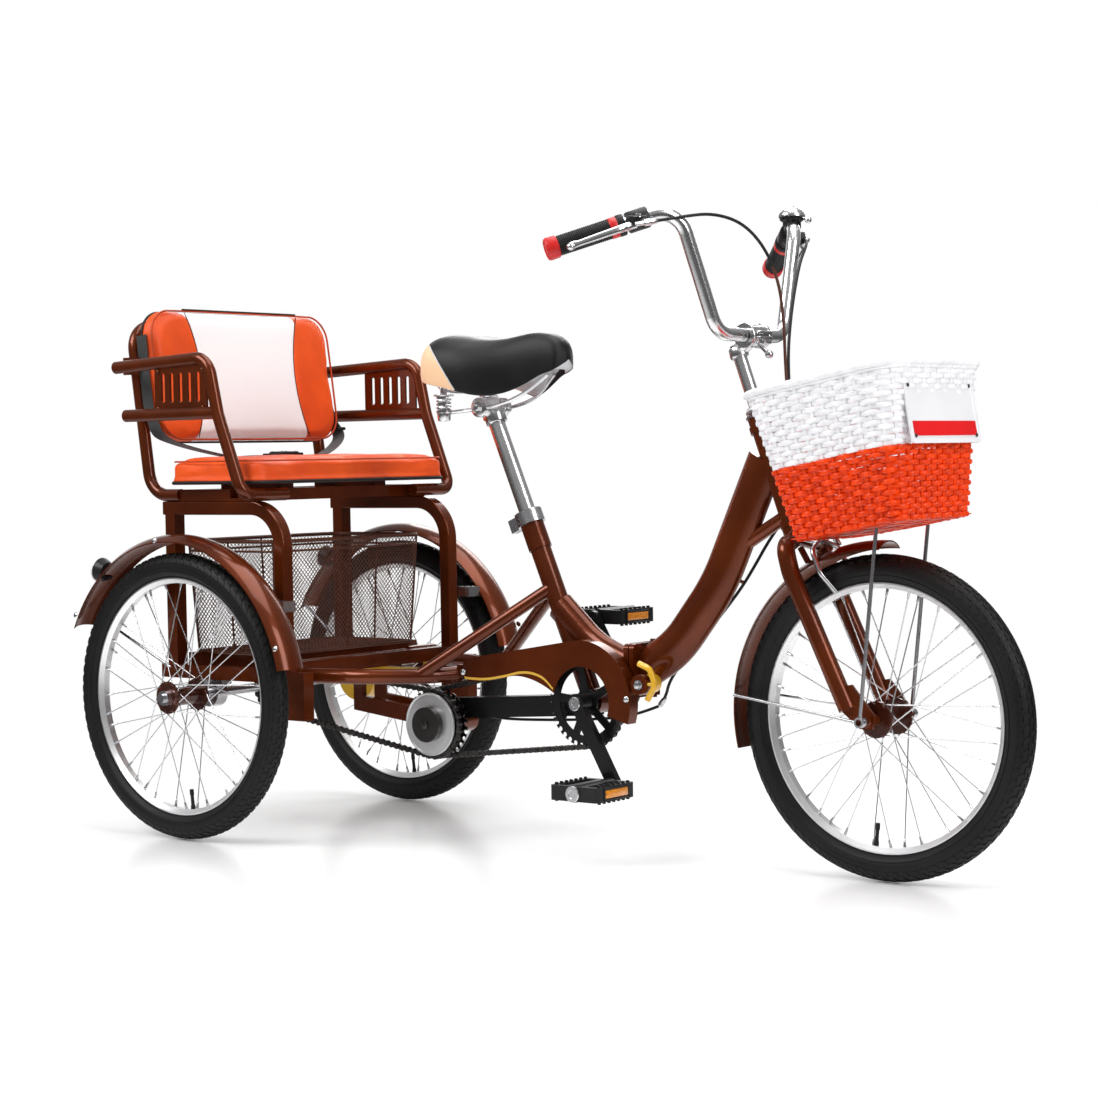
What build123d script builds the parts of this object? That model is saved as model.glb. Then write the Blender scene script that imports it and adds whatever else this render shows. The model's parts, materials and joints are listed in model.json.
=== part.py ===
from build123d import *
from math import asin, atan2, cos, degrees, hypot, pi, radians, sin, tan
import os

# Folding tricycle: one steered front wheel, two rear wheels, a pedal drive through a jackshaft,
# a folding hinge in the main tube, a rear bench over a mesh basket and a wicker basket in front.
# Frame: +X forward, +Y to the rider's left, +Z up. Origin on the ground, under the middle of the
# overall box. Millimetres.

# ---------------------------------------------------------------- driving dimensions
wheelbase = 1240
track = 576
tyre_r = 250
tyre_section_r = 23.5
tyre_height = 39
rim_width = 25
rim_depth = 14
fender_r = 282
fender_width = 62
fender_sag = 12
fender_wall = 2
tail_angle = 24.7
run_clear = 0.05
soft_clear = 0.3
rim_r = tyre_r - tyre_height

# the rear-most reach is the fender's tail lip, the front-most is the front tyre
tail_reach = fender_r * cos(radians(tail_angle))
rx = -(wheelbase + tyre_r - tail_reach) / 2
fx = rx + wheelbase
axle_z = tyre_r
half_track = track / 2

# wheels and hubs
spoke_r = 1.0
spoke_count = 36
flange_r = 28
flange_wall = 3
front_flange_half = 30
rear_flange_half = 34
front_axle_r = 5
rear_axle_r = 8
front_axle_half = 74
nut_wall = 9
axle_end = 5.7
rear_axle_half = half_track + rear_flange_half + flange_wall + soft_clear + nut_wall + axle_end

# steering axis
head_lean = 20
head_foot_x = fx - 55
head_foot_z = 250

# frame
seat_lean = 23.1
seat_foot_x = rx + 680
seat_foot_z = 250
seat_tube_r = 17.5
seat_post_r = 14.3
post_top_z = 752
post_foot_z = 440
seat_travel = 60
bracket_x = rx + 702
bracket_z = 252
shell_r = 21
shell_half = 34
stay_r = 11
main_tall = 66
main_wide = 38

# hinge of the folding frame
fold_x = rx + 778
fold_y = 36
fold_z = 305
plate_wall = 9
plate_tall = 88
plate_half = 33
fold_gap = 2
pin_r = 5

# drive
crank_length = 150
crank_angle = -60
chainwheel_teeth = 36
jack_teeth = 28
rear_teeth = 21
chain_pitch = 12.7
front_chain_y = -46
rear_chain_y = -66
jack_x = rx + 384
jack_z = 201
jack_shaft_r = 8
sprocket_wall = 2.4
plate_gap = 5.4
link_wall = 1.4
link_tall = 8.4

# rear carriage
square = 24
arch_y = 215
arch_top_z = 575
arch_rear_x = rx - 106
arch_front_x = rx + 180
arch_bend = 68
rail_z = 286
post_x = rx - 88
leg_foot_z = 212
bench_z = arch_top_z + square / 2

# rear bench
cushion_rear = rx - 73
cushion_front = rx + 155
cushion_half = 246
cushion_thick = 46
board_z = bench_z + 21
spacer = 8
arm_y = 270
arm_tube_r = 11
arm_top_z = 832
arm_low_z = 740
foot_z = bench_z + 11
front_foot_x = rx + 140

os.makedirs("parts", exist_ok=True)


# ---------------------------------------------------------------- helpers
def head_x(z):
    """X of the steering axis at height z."""
    return head_foot_x - (z - head_foot_z) * tan(radians(head_lean))


def steer_plane(z):
    """Plane square to the steering axis at height z."""
    lean = radians(head_lean)
    return Plane(origin=(head_x(z), 0, z), x_dir=(cos(lean), 0, sin(lean)), z_dir=(-sin(lean), 0, cos(lean)))


def seat_x(z):
    """X of the seat tube's axis at height z."""
    return seat_foot_x - (z - seat_foot_z) * tan(radians(seat_lean))


def pitch_r(teeth):
    """Pitch radius of a sprocket."""
    return chain_pitch / (2 * sin(pi / teeth))


def rod(start, end, radius, mode=Mode.ADD):
    """Round bar between two points."""
    run = Vector(*end) - Vector(*start)
    with BuildSketch(Plane(origin=start, z_dir=run)) as section:
        Circle(radius)
    extrude(section.sketch, amount=run.length, mode=mode)


def bent_rod(points, bends, radius):
    """Round tube along straight runs joined by tangent arcs."""
    with BuildLine() as route:
        FilletPolyline(*points, radius=bends)
    line = route.line
    with BuildSketch(Plane(origin=line @ 0, z_dir=line % 0)) as section:
        Circle(radius)
    sweep(section.sketch, path=line)


def oval_tube(points, bends, tall, wide):
    """Oval tube along a route in the middle plane, tall in that plane and wide across it."""
    with BuildLine() as route:
        FilletPolyline(*points, radius=bends)
    line = route.line
    with BuildSketch(Plane(origin=line @ 0, x_dir=(0, 1, 0), z_dir=line % 0)) as section:
        Ellipse(wide / 2, tall / 2)
    sweep(section.sketch, path=line)


def block(x0, x1, y0, y1, z0, z1, mode=Mode.ADD):
    """Box between two corners."""
    with Locations(((x0 + x1) / 2, (y0 + y1) / 2, (z0 + z1) / 2)):
        Box(abs(x1 - x0), abs(y1 - y0), abs(z1 - z0), mode=mode)


def cross_bar(x, y0, y1, z, radius, mode=Mode.ADD):
    """Round bar along Y."""
    rod((x, min(y0, y1), z), (x, max(y0, y1), z), radius, mode)


def side_plane(x, y, z):
    """Plane facing the rider's right, with local x forward and local y up."""
    return Plane(origin=(x, y, z), x_dir=(1, 0, 0), z_dir=(0, -1, 0))


def ring_plane(x, y, z, angle):
    """Plane through a wheel's axis, local x pointing out at an angle above forward, local y to the left."""
    out = (cos(radians(angle)), 0, sin(radians(angle)))
    return Plane(origin=(x, y, z), x_dir=out, z_dir=(-out[2], 0, out[0]))


# ---------------------------------------------------------------- wheels
def make_tyre(x, y):
    """Tyre: a round section cut flat where it meets the rim."""
    with BuildPart() as tyre:
        with BuildSketch(ring_plane(x, y, axle_z, 0)):
            with Locations((tyre_r - tyre_section_r, 0)):
                Circle(tyre_section_r)
            Rectangle(2 * rim_r, 4 * tyre_section_r, mode=Mode.SUBTRACT)
        revolve(axis=Axis((x, y, axle_z), (0, -1, 0)))
    return tyre


def make_rim(x, y):
    """Alloy rim: a closed ring with sloping inner corners."""
    half = rim_width / 2
    with BuildPart() as rim:
        with BuildSketch(ring_plane(x, y, axle_z, 0)):
            with BuildLine():
                Polyline(
                    (rim_r, -half), (rim_r, half), (rim_r - rim_depth / 2, half), (rim_r - rim_depth, half / 2),
                    (rim_r - rim_depth, -half / 2), (rim_r - rim_depth / 2, -half), close=True,
                )
            make_face()
        revolve(axis=Axis((x, y, axle_z), (0, -1, 0)))
    return rim


def make_hub(x, y, flange_half, bore_r, body_r):
    """Hub shell with two flanges and its spokes, laced so that crossing spokes clear each other."""
    reach = rim_r - rim_depth - 0.4
    half = flange_half + flange_wall
    root_r = flange_r - 4
    lead = 62
    with BuildPart() as hub:
        with BuildSketch(side_plane(x, y + half, axle_z)):
            Circle(body_r)
        extrude(amount=2 * half)
        for side in (-1, 1):
            with BuildSketch(side_plane(x, y + side * flange_half + flange_wall / 2, axle_z)):
                Circle(flange_r)
            extrude(amount=flange_wall)
        with BuildSketch(side_plane(x, y + half, axle_z)):
            Circle(bore_r)
        extrude(amount=2 * half, mode=Mode.SUBTRACT)
        per_family = spoke_count // 4
        for side in (-1, 1):
            for turn in (-1, 1):
                root_y = side * (flange_half + turn * 2.0)
                start = Vector(root_r, 0, root_y)
                tip_angle = radians(turn * lead)
                tip = Vector(reach * cos(tip_angle), reach * sin(tip_angle), side * 3.0)
                offset = (0 if turn > 0 else 180 / per_family) + (90 / per_family if side > 0 else 0)
                spoke = Solid.make_cylinder(spoke_r, (tip - start).length, Plane(origin=start, z_dir=tip - start))
                plane = side_plane(x, y, axle_z)
                family = [
                    plane.location * Location((0, 0, 0), (0, 0, offset + i * 360 / per_family)) * spoke
                    for i in range(per_family)
                ]
                add(family)
    return hub


front_tyre = make_tyre(fx, 0)
front_rim = make_rim(fx, 0)
front_hub = make_hub(fx, 0, front_flange_half, front_axle_r + run_clear, 14)
right_tyre = make_tyre(rx, -half_track)
right_rim = make_rim(rx, -half_track)
right_hub = make_hub(rx, -half_track, rear_flange_half, rear_axle_r, 16)
left_tyre = make_tyre(rx, half_track)
left_rim = make_rim(rx, half_track)
left_hub = make_hub(rx, half_track, rear_flange_half, rear_axle_r + run_clear, 16)


# ---------------------------------------------------------------- rear axle
rail_top = rail_z + square / 2
rail_foot = rail_z - square / 2
bearing_half = square / 2
drum_y = 170
drum_r = 36
drum_half = 9
moving_gap = 5
nut_r = 13
hub_half = rear_flange_half + flange_wall

with BuildPart() as drive_axle:
    cross_bar(rx, -rear_axle_half, rear_axle_half, axle_z, rear_axle_r)
    for side in (-1, 1):
        nut_in = half_track + hub_half + soft_clear
        cross_bar(rx, side * nut_in, side * (nut_in + nut_wall), axle_z, nut_r)
    cross_bar(rx, drum_y - drum_half, drum_y + drum_half, axle_z, drum_r)

with BuildPart() as axle_bearings:
    for side in (-1, 1):
        y = side * arch_y
        cross_bar(rx, y - bearing_half, y + bearing_half, axle_z, rail_foot - axle_z)
        block(rx - 34, rx + 34, y - bearing_half, y + bearing_half, rail_foot - 8, rail_foot)
        cross_bar(rx, y - bearing_half, y + bearing_half, axle_z, rear_axle_r + run_clear, Mode.SUBTRACT)

cover_r = drum_r + moving_gap + 5
cover_half = drum_half + moving_gap + 3
with BuildPart() as brake_cover:
    cross_bar(rx, drum_y - cover_half, drum_y + cover_half, axle_z, cover_r)
    cross_bar(rx, drum_y - cover_half + 3, drum_y + cover_half - 3, axle_z, cover_r - 5, Mode.SUBTRACT)
    cross_bar(rx, drum_y - cover_half, drum_y + cover_half, axle_z, rear_axle_r + moving_gap, Mode.SUBTRACT)
    strap_end = arch_front_x - square / 2
    block(rx + cover_r - 3, strap_end, drum_y - 10, drum_y + 10, rail_foot - 13, rail_foot - 5)
    block(strap_end - 6, strap_end, drum_y - 10, drum_y + 10, rail_foot - 13, rail_z + 4)


def sprocket(x, y, z, teeth, wall=sprocket_wall):
    """Toothed disc in the side plane, added to the piece being built."""
    with BuildSketch(side_plane(x, y + wall / 2, z)) as disc:
        Circle(pitch_r(teeth) + 3)
        with PolarLocations(pitch_r(teeth), teeth):
            Circle(4.1, mode=Mode.SUBTRACT)
    extrude(disc.sketch, amount=wall)


with BuildPart() as rear_freewheel:
    sprocket(rx, rear_chain_y, axle_z, rear_teeth)
    cross_bar(rx, rear_chain_y - 11, rear_chain_y + 11, axle_z, 24)
    cross_bar(rx, rear_chain_y - 11, rear_chain_y + 11, axle_z, rear_axle_r + run_clear, Mode.SUBTRACT)

# ---------------------------------------------------------------- carriage
slat_half = 9
slat_top = rail_top + 20

with BuildPart() as carriage_frame:
    for side in (-1, 1):
        y = side * arch_y
        half = square / 2
        block(rx - 118, arch_front_x + half, y - half, y + half, rail_foot, rail_top)
        block(arch_front_x - half, arch_front_x + 54, y - half, y + half, leg_foot_z, rail_top - 4)
    inner = arch_y - square / 2
    # the front cross tube stands higher than the rear one, over the rear chain
    for x, lift in ((post_x, 0), (arch_front_x, 11)):
        block(x - square / 2, x + square / 2, -inner, inner, rail_foot + lift, rail_top + lift)
    for x in (rx - 64, rx + 100):
        block(x - slat_half, x + slat_half, -inner, inner, rail_top - 6, slat_top)

with BuildPart() as rack_arches:
    for side in (-1, 1):
        y = side * arch_y
        with BuildLine() as route:
            FilletPolyline(
                (arch_rear_x, y, arch_top_z), (arch_front_x, y, arch_top_z), (arch_front_x, y, rail_top),
                radius=arch_bend,
            )
        with BuildSketch(Plane(origin=(arch_rear_x, y, arch_top_z), z_dir=(1, 0, 0))):
            RectangleRounded(square, square, 3)
        sweep(path=route.line)
        half = square / 2
        block(post_x - half, post_x + half, y - half, y + half, rail_top, arch_top_z)

basket_in = arch_y - square / 2 - 8
basket_x = rx + 22
basket_long = 228
basket_rim_z = 518
basket_wall = 3
with BuildPart() as mesh_basket:
    with BuildSketch(Plane.XY.offset(slat_top)):
        with Locations((basket_x, 0)):
            RectangleRounded(basket_long - 23, 2 * basket_in - 24, 18)
    with BuildSketch(Plane.XY.offset(basket_rim_z)):
        with Locations((basket_x, 0)):
            RectangleRounded(basket_long, 2 * basket_in, 22)
    loft()
    offset(amount=-basket_wall, openings=mesh_basket.faces().sort_by(Axis.Z)[-1:])

rod_x = arch_front_x - 24
with BuildPart() as cross_rod:
    cross_bar(rod_x, -inner, inner, rail_top + 4, 7)
    cross_bar(rod_x, inner - 78, inner - 6, rail_top + 4, 11)

# ---------------------------------------------------------------- bench
bridge_x = rx + 100
bridge_half = 15
bracket_rear_x = rx - 62
bracket_front_x = rx + 66
with BuildPart() as bench_frame:
    half = square / 2
    for side in (-1, 1):
        y = side * arch_y
        block(bracket_rear_x, bracket_front_x, y - half, y + half, bench_z, board_z)
        block(bracket_front_x, bridge_x - bridge_half, y - half, y + half, bench_z, bench_z + 5)
    block(bridge_x - bridge_half, bridge_x + bridge_half, -arch_y - half, arch_y + half, bench_z, board_z)
    for x in (bracket_rear_x + 20, bracket_rear_x + 50):
        block(x - 10, x + 10, -arch_y, arch_y, board_z - 8, board_z)
    for y in (-120, 120):
        block(bracket_rear_x + 10, bridge_x, y - 15, y + 15, board_z - 8, board_z + spacer)

with BuildPart() as bench_cushion:
    with BuildSketch(Plane.XY.offset(board_z + spacer + soft_clear)):
        with Locations(((cushion_rear + cushion_front) / 2, 0)):
            RectangleRounded(cushion_front - cushion_rear, 2 * cushion_half, 22)
    extrude(amount=cushion_thick)
    fillet(bench_cushion.edges().group_by(Axis.Z)[-1], 14)

pad_half = 228
back_y = 222
arm_rear_x = rx - 172
arm_bend_x = rx + 84
tab_x = rx - 170
with BuildPart() as armrests:
    for side in (-1, 1):
        y = side * arm_y
        in_y = side * 165
        bent_rod(
            [
                (arm_rear_x, y, arm_top_z - 6), (rx + 62, y, arm_top_z + 4), (arm_bend_x, y, arm_low_z),
                (front_foot_x, y, foot_z), (front_foot_x, in_y, foot_z),
            ],
            [34, 90, 24],
            arm_tube_r,
        )
        rod((arm_rear_x + 24, y, arm_low_z), (arm_bend_x, y, arm_low_z), arm_tube_r)
        with BuildSketch(side_plane(rx - 5, y + 2, (arm_top_z + arm_low_z) / 2)) as panel:
            RectangleRounded(130, arm_top_z - arm_low_z - arm_tube_r, 8)
            with GridLocations(22, 0, 5, 1):
                SlotOverall(52, 9, rotation=90, mode=Mode.SUBTRACT)
        extrude(panel.sketch, amount=4)
        # plate and bolt that tie the rail to the backrest's frame
        tube_side = side * (back_y + arm_tube_r)
        block(tab_x - 19, tab_x + 19, tube_side, tube_side + side * 5, arm_top_z - 18, arm_top_z + 13)
        cross_bar(tab_x, tube_side, y, arm_top_z - 6, 6)

pad_foot_z = 692
pad_top_z = 932
pad_lean = 8
pad_thick = 34
back_x = rx - 128
lean = tan(radians(pad_lean))
pad_mid_z = (pad_foot_z + pad_top_z) / 2


def back_bar_x(z, stand):
    """X of a tube of the backrest's frame at height z, standing off the pad's back by its axis."""
    return back_x - (z - pad_mid_z) * lean - (pad_thick / 2 + stand) / cos(radians(pad_lean))


with BuildPart() as back_frame:
    top_z = pad_top_z - 30
    stand = 24
    corner_x = back_bar_x(foot_z, stand)
    bent_rod(
        [
            (bracket_rear_x, -back_y, foot_z), (corner_x, -back_y, foot_z),
            (back_bar_x(top_z, stand), -back_y, top_z), (back_bar_x(top_z, stand), back_y, top_z),
            (corner_x, back_y, foot_z), (bracket_rear_x, back_y, foot_z),
        ],
        [48, 45, 45, 48],
        arm_tube_r,
    )
    for z in (pad_foot_z + 46, pad_top_z - 52):
        cross_bar(back_bar_x(z, 9 + soft_clear), -back_y, back_y, z, 9)

pad_plane = Plane(
    origin=(back_x, 0, pad_mid_z), x_dir=(0, 1, 0),
    z_dir=(cos(radians(pad_lean)), 0, sin(radians(pad_lean))),
)
with BuildPart() as backrest_pad:
    with BuildSketch(pad_plane.offset(-pad_thick / 2)):
        RectangleRounded(2 * pad_half, pad_top_z - pad_foot_z, 45)
    extrude(amount=pad_thick)
    fillet(backrest_pad.faces().sort_by(Axis.X)[-1].edges(), 12)

belt_wide = 25
belt_wall = 1.6
belt_side_y = pad_half + soft_clear + belt_wall / 2
belt_low_z = board_z + spacer + cushion_thick + 2 * soft_clear + belt_wall / 2


def belt_plane(before, point, after):
    """Plane square to the belt's run at a point, local x along the belt's width."""
    run = (Vector(*after) - Vector(*before)).normalized()
    wide = Vector(1, 0, 0) - run * run.X
    return Plane(origin=point, x_dir=wide.normalized(), z_dir=run)


half_belt = [
    (rx - 150, belt_side_y, 884), (rx - 141, belt_side_y, 800), (rx - 126, belt_side_y + 2, 736),
    (rx - 98, 221, 696), (rx - 54, 132, belt_low_z + 4), (rx - 46, 70, belt_low_z),
]
belt_route = half_belt + [(x, -y, z) for x, y, z in reversed(half_belt)]
with BuildPart() as lap_belt:
    for i, point in enumerate(belt_route):
        before = belt_route[max(i - 1, 0)]
        after = belt_route[min(i + 1, len(belt_route) - 1)]
        with BuildSketch(belt_plane(before, point, after)):
            Rectangle(belt_wide, belt_wall)
    loft(ruled=True)

# ---------------------------------------------------------------- fenders and lamps
def fender_profile(radius):
    """Curved fender section in a ring plane: an arched strip of even wall."""
    half = fender_width / 2
    with BuildLine() as outline:
        ThreePointArc((radius - fender_sag, -half), (radius, 0), (radius - fender_sag, half))
        Line((radius - fender_sag, half), (radius - fender_sag - fender_wall, half))
        ThreePointArc(
            (radius - fender_sag - fender_wall, half), (radius - fender_wall, 0),
            (radius - fender_sag - fender_wall, -half),
        )
        Line((radius - fender_sag - fender_wall, -half), (radius - fender_sag, -half))
    return outline.line


def fender(x, y, radius, start, end):
    """Fender between two angles above forward, added to the piece being built."""
    with BuildSketch(ring_plane(x, y, axle_z, start)) as section:
        add(fender_profile(radius))
        make_face()
    revolve(section.sketch, axis=Axis((x, y, axle_z), (0, -1, 0)), revolution_arc=end - start)


with BuildPart() as rear_fenders:
    for side in (-1, 1):
        fender(rx, side * half_track, fender_r, 12, 180 - tail_angle)

with BuildPart() as fender_stays:
    for side in (-1, 1):
        inner_y = side * (arch_y + square / 2)
        edge_y = side * (half_track - fender_width / 2)
        clip_z = axle_z + 158
        clip_x = rx + (fender_r - fender_sag) * cos(asin(158 / (fender_r - fender_sag)))
        block(arch_front_x - 12, clip_x, inner_y, side * (half_track - fender_width / 2 - 0.3), clip_z - 9, clip_z + 9)
        rod((rx - 96, inner_y - side, rail_z + 6), (rx - 226, edge_y - side, axle_z + 120), 3)
    add(carriage_frame.part, mode=Mode.SUBTRACT)
    add(rack_arches.part, mode=Mode.SUBTRACT)
    add(rear_fenders.part, mode=Mode.SUBTRACT)

lamp_angle = 131
with BuildPart() as tail_lamps:
    for side in (-1, 1):
        plane = ring_plane(rx, side * half_track, axle_z, lamp_angle)
        seat_point = plane.origin + plane.x_dir * (fender_r + 1)
        with BuildSketch(Plane(origin=seat_point, z_dir=(-1, 0, 0.2))):
            Circle(22)
        extrude(amount=26)
        y = side * half_track
        cross_bar(rx, y - fender_width, y + fender_width, axle_z, fender_r, Mode.SUBTRACT)

# ---------------------------------------------------------------- drive subframe and stays
bow_r = 13
bow_front_x = rx + 428
housing_r = 20
housing_half = 33
bar_wall = 12
bar_tall = 28

with BuildPart() as drive_bracket:
    for y in (-30, 24):
        block(arch_front_x - 10, arch_front_x + 10, y - bar_wall / 2, y + bar_wall / 2, leg_foot_z, rail_foot)
        with BuildSketch(side_plane(0, y + bar_wall / 2, 0)):
            with BuildLine():
                Polyline(
                    (arch_front_x - 10, leg_foot_z), (jack_x, jack_z - bar_tall / 2),
                    (jack_x, jack_z + bar_tall / 2), (arch_front_x - 10, leg_foot_z + bar_tall), close=True,
                )
            make_face()
        extrude(amount=bar_wall)
    cross_bar(jack_x, -housing_half - 3, housing_half - 3, jack_z, housing_r)
    cross_bar(jack_x, -housing_half - 3, housing_half - 3, jack_z, jack_shaft_r + run_clear, Mode.SUBTRACT)

with BuildPart() as bow_tube:
    bent_rod(
        [
            (arch_front_x + square / 2, -188, rail_z), (rx + 300, -160, rail_z), (rx + 400, -104, rail_z),
            (bow_front_x, -46, rail_z + 2), (bow_front_x, 46, rail_z + 2), (rx + 400, 104, rail_z),
            (rx + 300, 160, rail_z), (arch_front_x + square / 2, 188, rail_z),
        ],
        [160, 70, 40, 40, 70, 160],
        bow_r,
    )
    block(bow_front_x + 4, bow_front_x + 40, -58, -53, rail_z - 4, rail_z + 18)
    block(arch_front_x - 20, arch_front_x + square / 2, -arch_y, arch_y, rail_foot - 5, rail_top + 5, Mode.SUBTRACT)

# ---------------------------------------------------------------- rear frame
seat_up = Vector(-sin(radians(seat_lean)), 0, cos(radians(seat_lean)))


def seat_plane(z):
    """Plane square to the seat tube's axis at height z, local x forward."""
    return Plane(origin=(seat_x(z), 0, z), x_dir=(seat_up.Z, 0, -seat_up.X), z_dir=seat_up)


def seat_run(z0, z1):
    """Length along the seat tube between two heights."""
    return (z1 - z0) / seat_up.Z


sleeve_r = seat_tube_r + 2.5
collar_foot_z = 541
seat_top_z = 562
spindle_r = 8
knuckle_r = 10
plate_edge = fold_y - knuckle_r - 0.5
low_plate_z = fold_z - plate_tall / 2
knuckle_step = plate_tall / 4

with BuildPart() as rear_frame:
    rod((seat_x(bracket_z), 0, bracket_z), (seat_x(500), 0, 500), seat_tube_r)
    rod((seat_x(500), 0, 500), (seat_x(seat_top_z), 0, seat_top_z), sleeve_r)
    cross_bar(bracket_x, -shell_half, shell_half, bracket_z, shell_r)
    oval_tube(
        [(seat_x(405), 0, 405), (rx + 690, 0, 336), (fold_x - fold_gap / 2 - plate_wall / 2, 0, fold_z)],
        [180],
        52,
        main_wide,
    )
    with BuildSketch(Plane.YZ.offset(fold_x - fold_gap / 2)) as plate:
        with Locations((-(plate_half - plate_edge) / 2, fold_z)):
            RectangleRounded(plate_half + plate_edge, plate_tall, 10)
    extrude(amount=-plate_wall)
    for low in (low_plate_z, low_plate_z + 3 * knuckle_step):
        block(
            fold_x - fold_gap / 2 - plate_wall, fold_x - fold_gap / 2, plate_edge - 4, fold_y - 1, low, low + knuckle_step,
        )
        rod((fold_x, fold_y, low), (fold_x, fold_y, low + knuckle_step), knuckle_r)
    rod((fold_x, fold_y, low_plate_z - 4), (fold_x, fold_y, low_plate_z + plate_tall + 4), pin_r)
    cross_bar(rx + 700, -58, 0, 341, 4)
    block(fold_x - fold_gap / 2, fold_x + 40, -60, plate_edge, fold_z - 60, fold_z + 60, Mode.SUBTRACT)
    bore_foot_z = post_foot_z - seat_travel
    with BuildSketch(seat_plane(bore_foot_z)):
        Circle(seat_post_r + run_clear)
    extrude(amount=seat_run(bore_foot_z, seat_top_z) + 5, mode=Mode.SUBTRACT)
    cross_bar(bracket_x, -shell_half, shell_half, bracket_z, spindle_r + run_clear, Mode.SUBTRACT)

with BuildPart() as seat_stays:
    for side in (-1, 1):
        rod((rx + 391, side * 108, rail_z + 2), (seat_x(436), side * 6, 436), stay_r)
    with BuildSketch(seat_plane(380)):
        Circle(seat_tube_r)
    extrude(amount=seat_run(380, 500), mode=Mode.SUBTRACT)
    add(bow_tube.part, mode=Mode.SUBTRACT)

with BuildPart() as seat_collar:
    with BuildSketch(seat_plane(collar_foot_z)):
        Circle(sleeve_r + 4)
        with Locations((-sleeve_r - 10, 0)):
            Rectangle(22, 16)
        Circle(sleeve_r, mode=Mode.SUBTRACT)
        with Locations((-sleeve_r - 10, 0)):
            Rectangle(26, 3, mode=Mode.SUBTRACT)
    extrude(amount=seat_run(collar_foot_z, seat_top_z))

beam_wide = 30
with BuildPart() as drive_beam:
    with BuildSketch(side_plane(0, 0, 0)):
        with BuildLine():
            Polyline(
                (jack_x, jack_z + 6), (bracket_x, bracket_z - 24), (bracket_x, bracket_z + 11),
                (jack_x, jack_z + 41), close=True,
            )
        make_face()
    extrude(amount=beam_wide)
    block(rx + 608, rx + 616, -6, 9, 216, 225)
    cross_bar(jack_x, -40, 10, jack_z, housing_r, Mode.SUBTRACT)
    cross_bar(bracket_x, -40, 10, bracket_z, shell_r, Mode.SUBTRACT)
    block(jack_x - 60, jack_x, -40, 10, jack_z - 20, jack_z + 60, Mode.SUBTRACT)
    block(bracket_x, bracket_x + 60, -40, 10, bracket_z - 60, bracket_z + 60, Mode.SUBTRACT)
    add(rear_frame.part, mode=Mode.SUBTRACT)

# ---------------------------------------------------------------- pedal drive
crank_out = 78
arm_wall = 12
pedal_half_x = 48
pedal_half_y = 50
pedal_half_z = 12
pedal_mid_y = crank_out + moving_gap + pedal_half_y


def pedal_spot(side):
    """X and Z of a pedal's axis; the right crank points along crank_angle, the left one opposite."""
    reach = -side * crank_length
    return bracket_x + reach * cos(radians(crank_angle)), bracket_z + reach * sin(radians(crank_angle))


with BuildPart() as crankset:
    cross_bar(bracket_x, -crank_out, crank_out, bracket_z, spindle_r)
    with BuildSketch(side_plane(bracket_x, front_chain_y + sprocket_wall / 2, bracket_z)):
        Circle(pitch_r(chainwheel_teeth) + 3)
        with PolarLocations(pitch_r(chainwheel_teeth), chainwheel_teeth):
            Circle(4.1, mode=Mode.SUBTRACT)
        Circle(56, mode=Mode.SUBTRACT)
        Circle(22)
        with PolarLocations(39, 5, start_angle=30):
            Rectangle(40, 14)
    extrude(amount=sprocket_wall)
    cross_bar(bracket_x, -crank_out, -shell_half - 2, bracket_z, 16)
    cross_bar(bracket_x, crank_out - arm_wall - 4, crank_out, bracket_z, 16)
    for side in (-1, 1):
        px, pz = pedal_spot(side)
        outer = side * crank_out
        plane = Plane(
            origin=(bracket_x, max(outer, outer - side * arm_wall), bracket_z),
            x_dir=(px - bracket_x, 0, pz - bracket_z), z_dir=(0, -1, 0),
        )
        with BuildSketch(plane):
            with Locations((crank_length / 2, 0)):
                SlotCenterToCenter(crank_length, 22)
        extrude(amount=arm_wall)
        cross_bar(px, outer, side * (pedal_mid_y + 40), pz, 6)


def make_pedal(side):
    """Pedal body round its spindle, which ends blind inside the outer end."""
    px, pz = pedal_spot(side)
    with BuildPart() as pedal:
        with Locations((px, side * pedal_mid_y, pz)):
            Box(2 * pedal_half_x, 2 * pedal_half_y, 2 * pedal_half_z)
        fillet(pedal.edges().filter_by(Axis.Z), 8)
        inner = side * (pedal_mid_y - pedal_half_y)
        cross_bar(px, inner, side * (pedal_mid_y + pedal_half_y), pz, 14)
        for x in (-1, 1):
            with Locations((px + x * 28, side * pedal_mid_y, pz)):
                Box(18, 2 * pedal_half_y - 22, 4 * pedal_half_z, mode=Mode.SUBTRACT)
        cross_bar(px, inner, side * (pedal_mid_y + 41), pz, 6 + run_clear, Mode.SUBTRACT)
    return pedal


right_pedal = make_pedal(-1)
left_pedal = make_pedal(1)

disc_y = rear_chain_y - 7
with BuildPart() as jackshaft:
    cross_bar(jack_x, disc_y - 15, housing_half + 6, jack_z, jack_shaft_r)
    cross_bar(jack_x, disc_y, -housing_half - 3.5, jack_z, 16)
    cross_bar(jack_x, housing_half - 2.5, housing_half + 6, jack_z, 13)
    sprocket(jack_x, front_chain_y, jack_z, jack_teeth)
    sprocket(jack_x, rear_chain_y, jack_z, jack_teeth)
    cross_bar(jack_x, disc_y - 15, disc_y - 3, jack_z, 30)

with BuildPart() as guard_disc:
    cross_bar(jack_x, disc_y - 3, disc_y, jack_z, 54)
    cross_bar(jack_x, disc_y - 3, disc_y, jack_z, jack_shaft_r, Mode.SUBTRACT)


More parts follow.
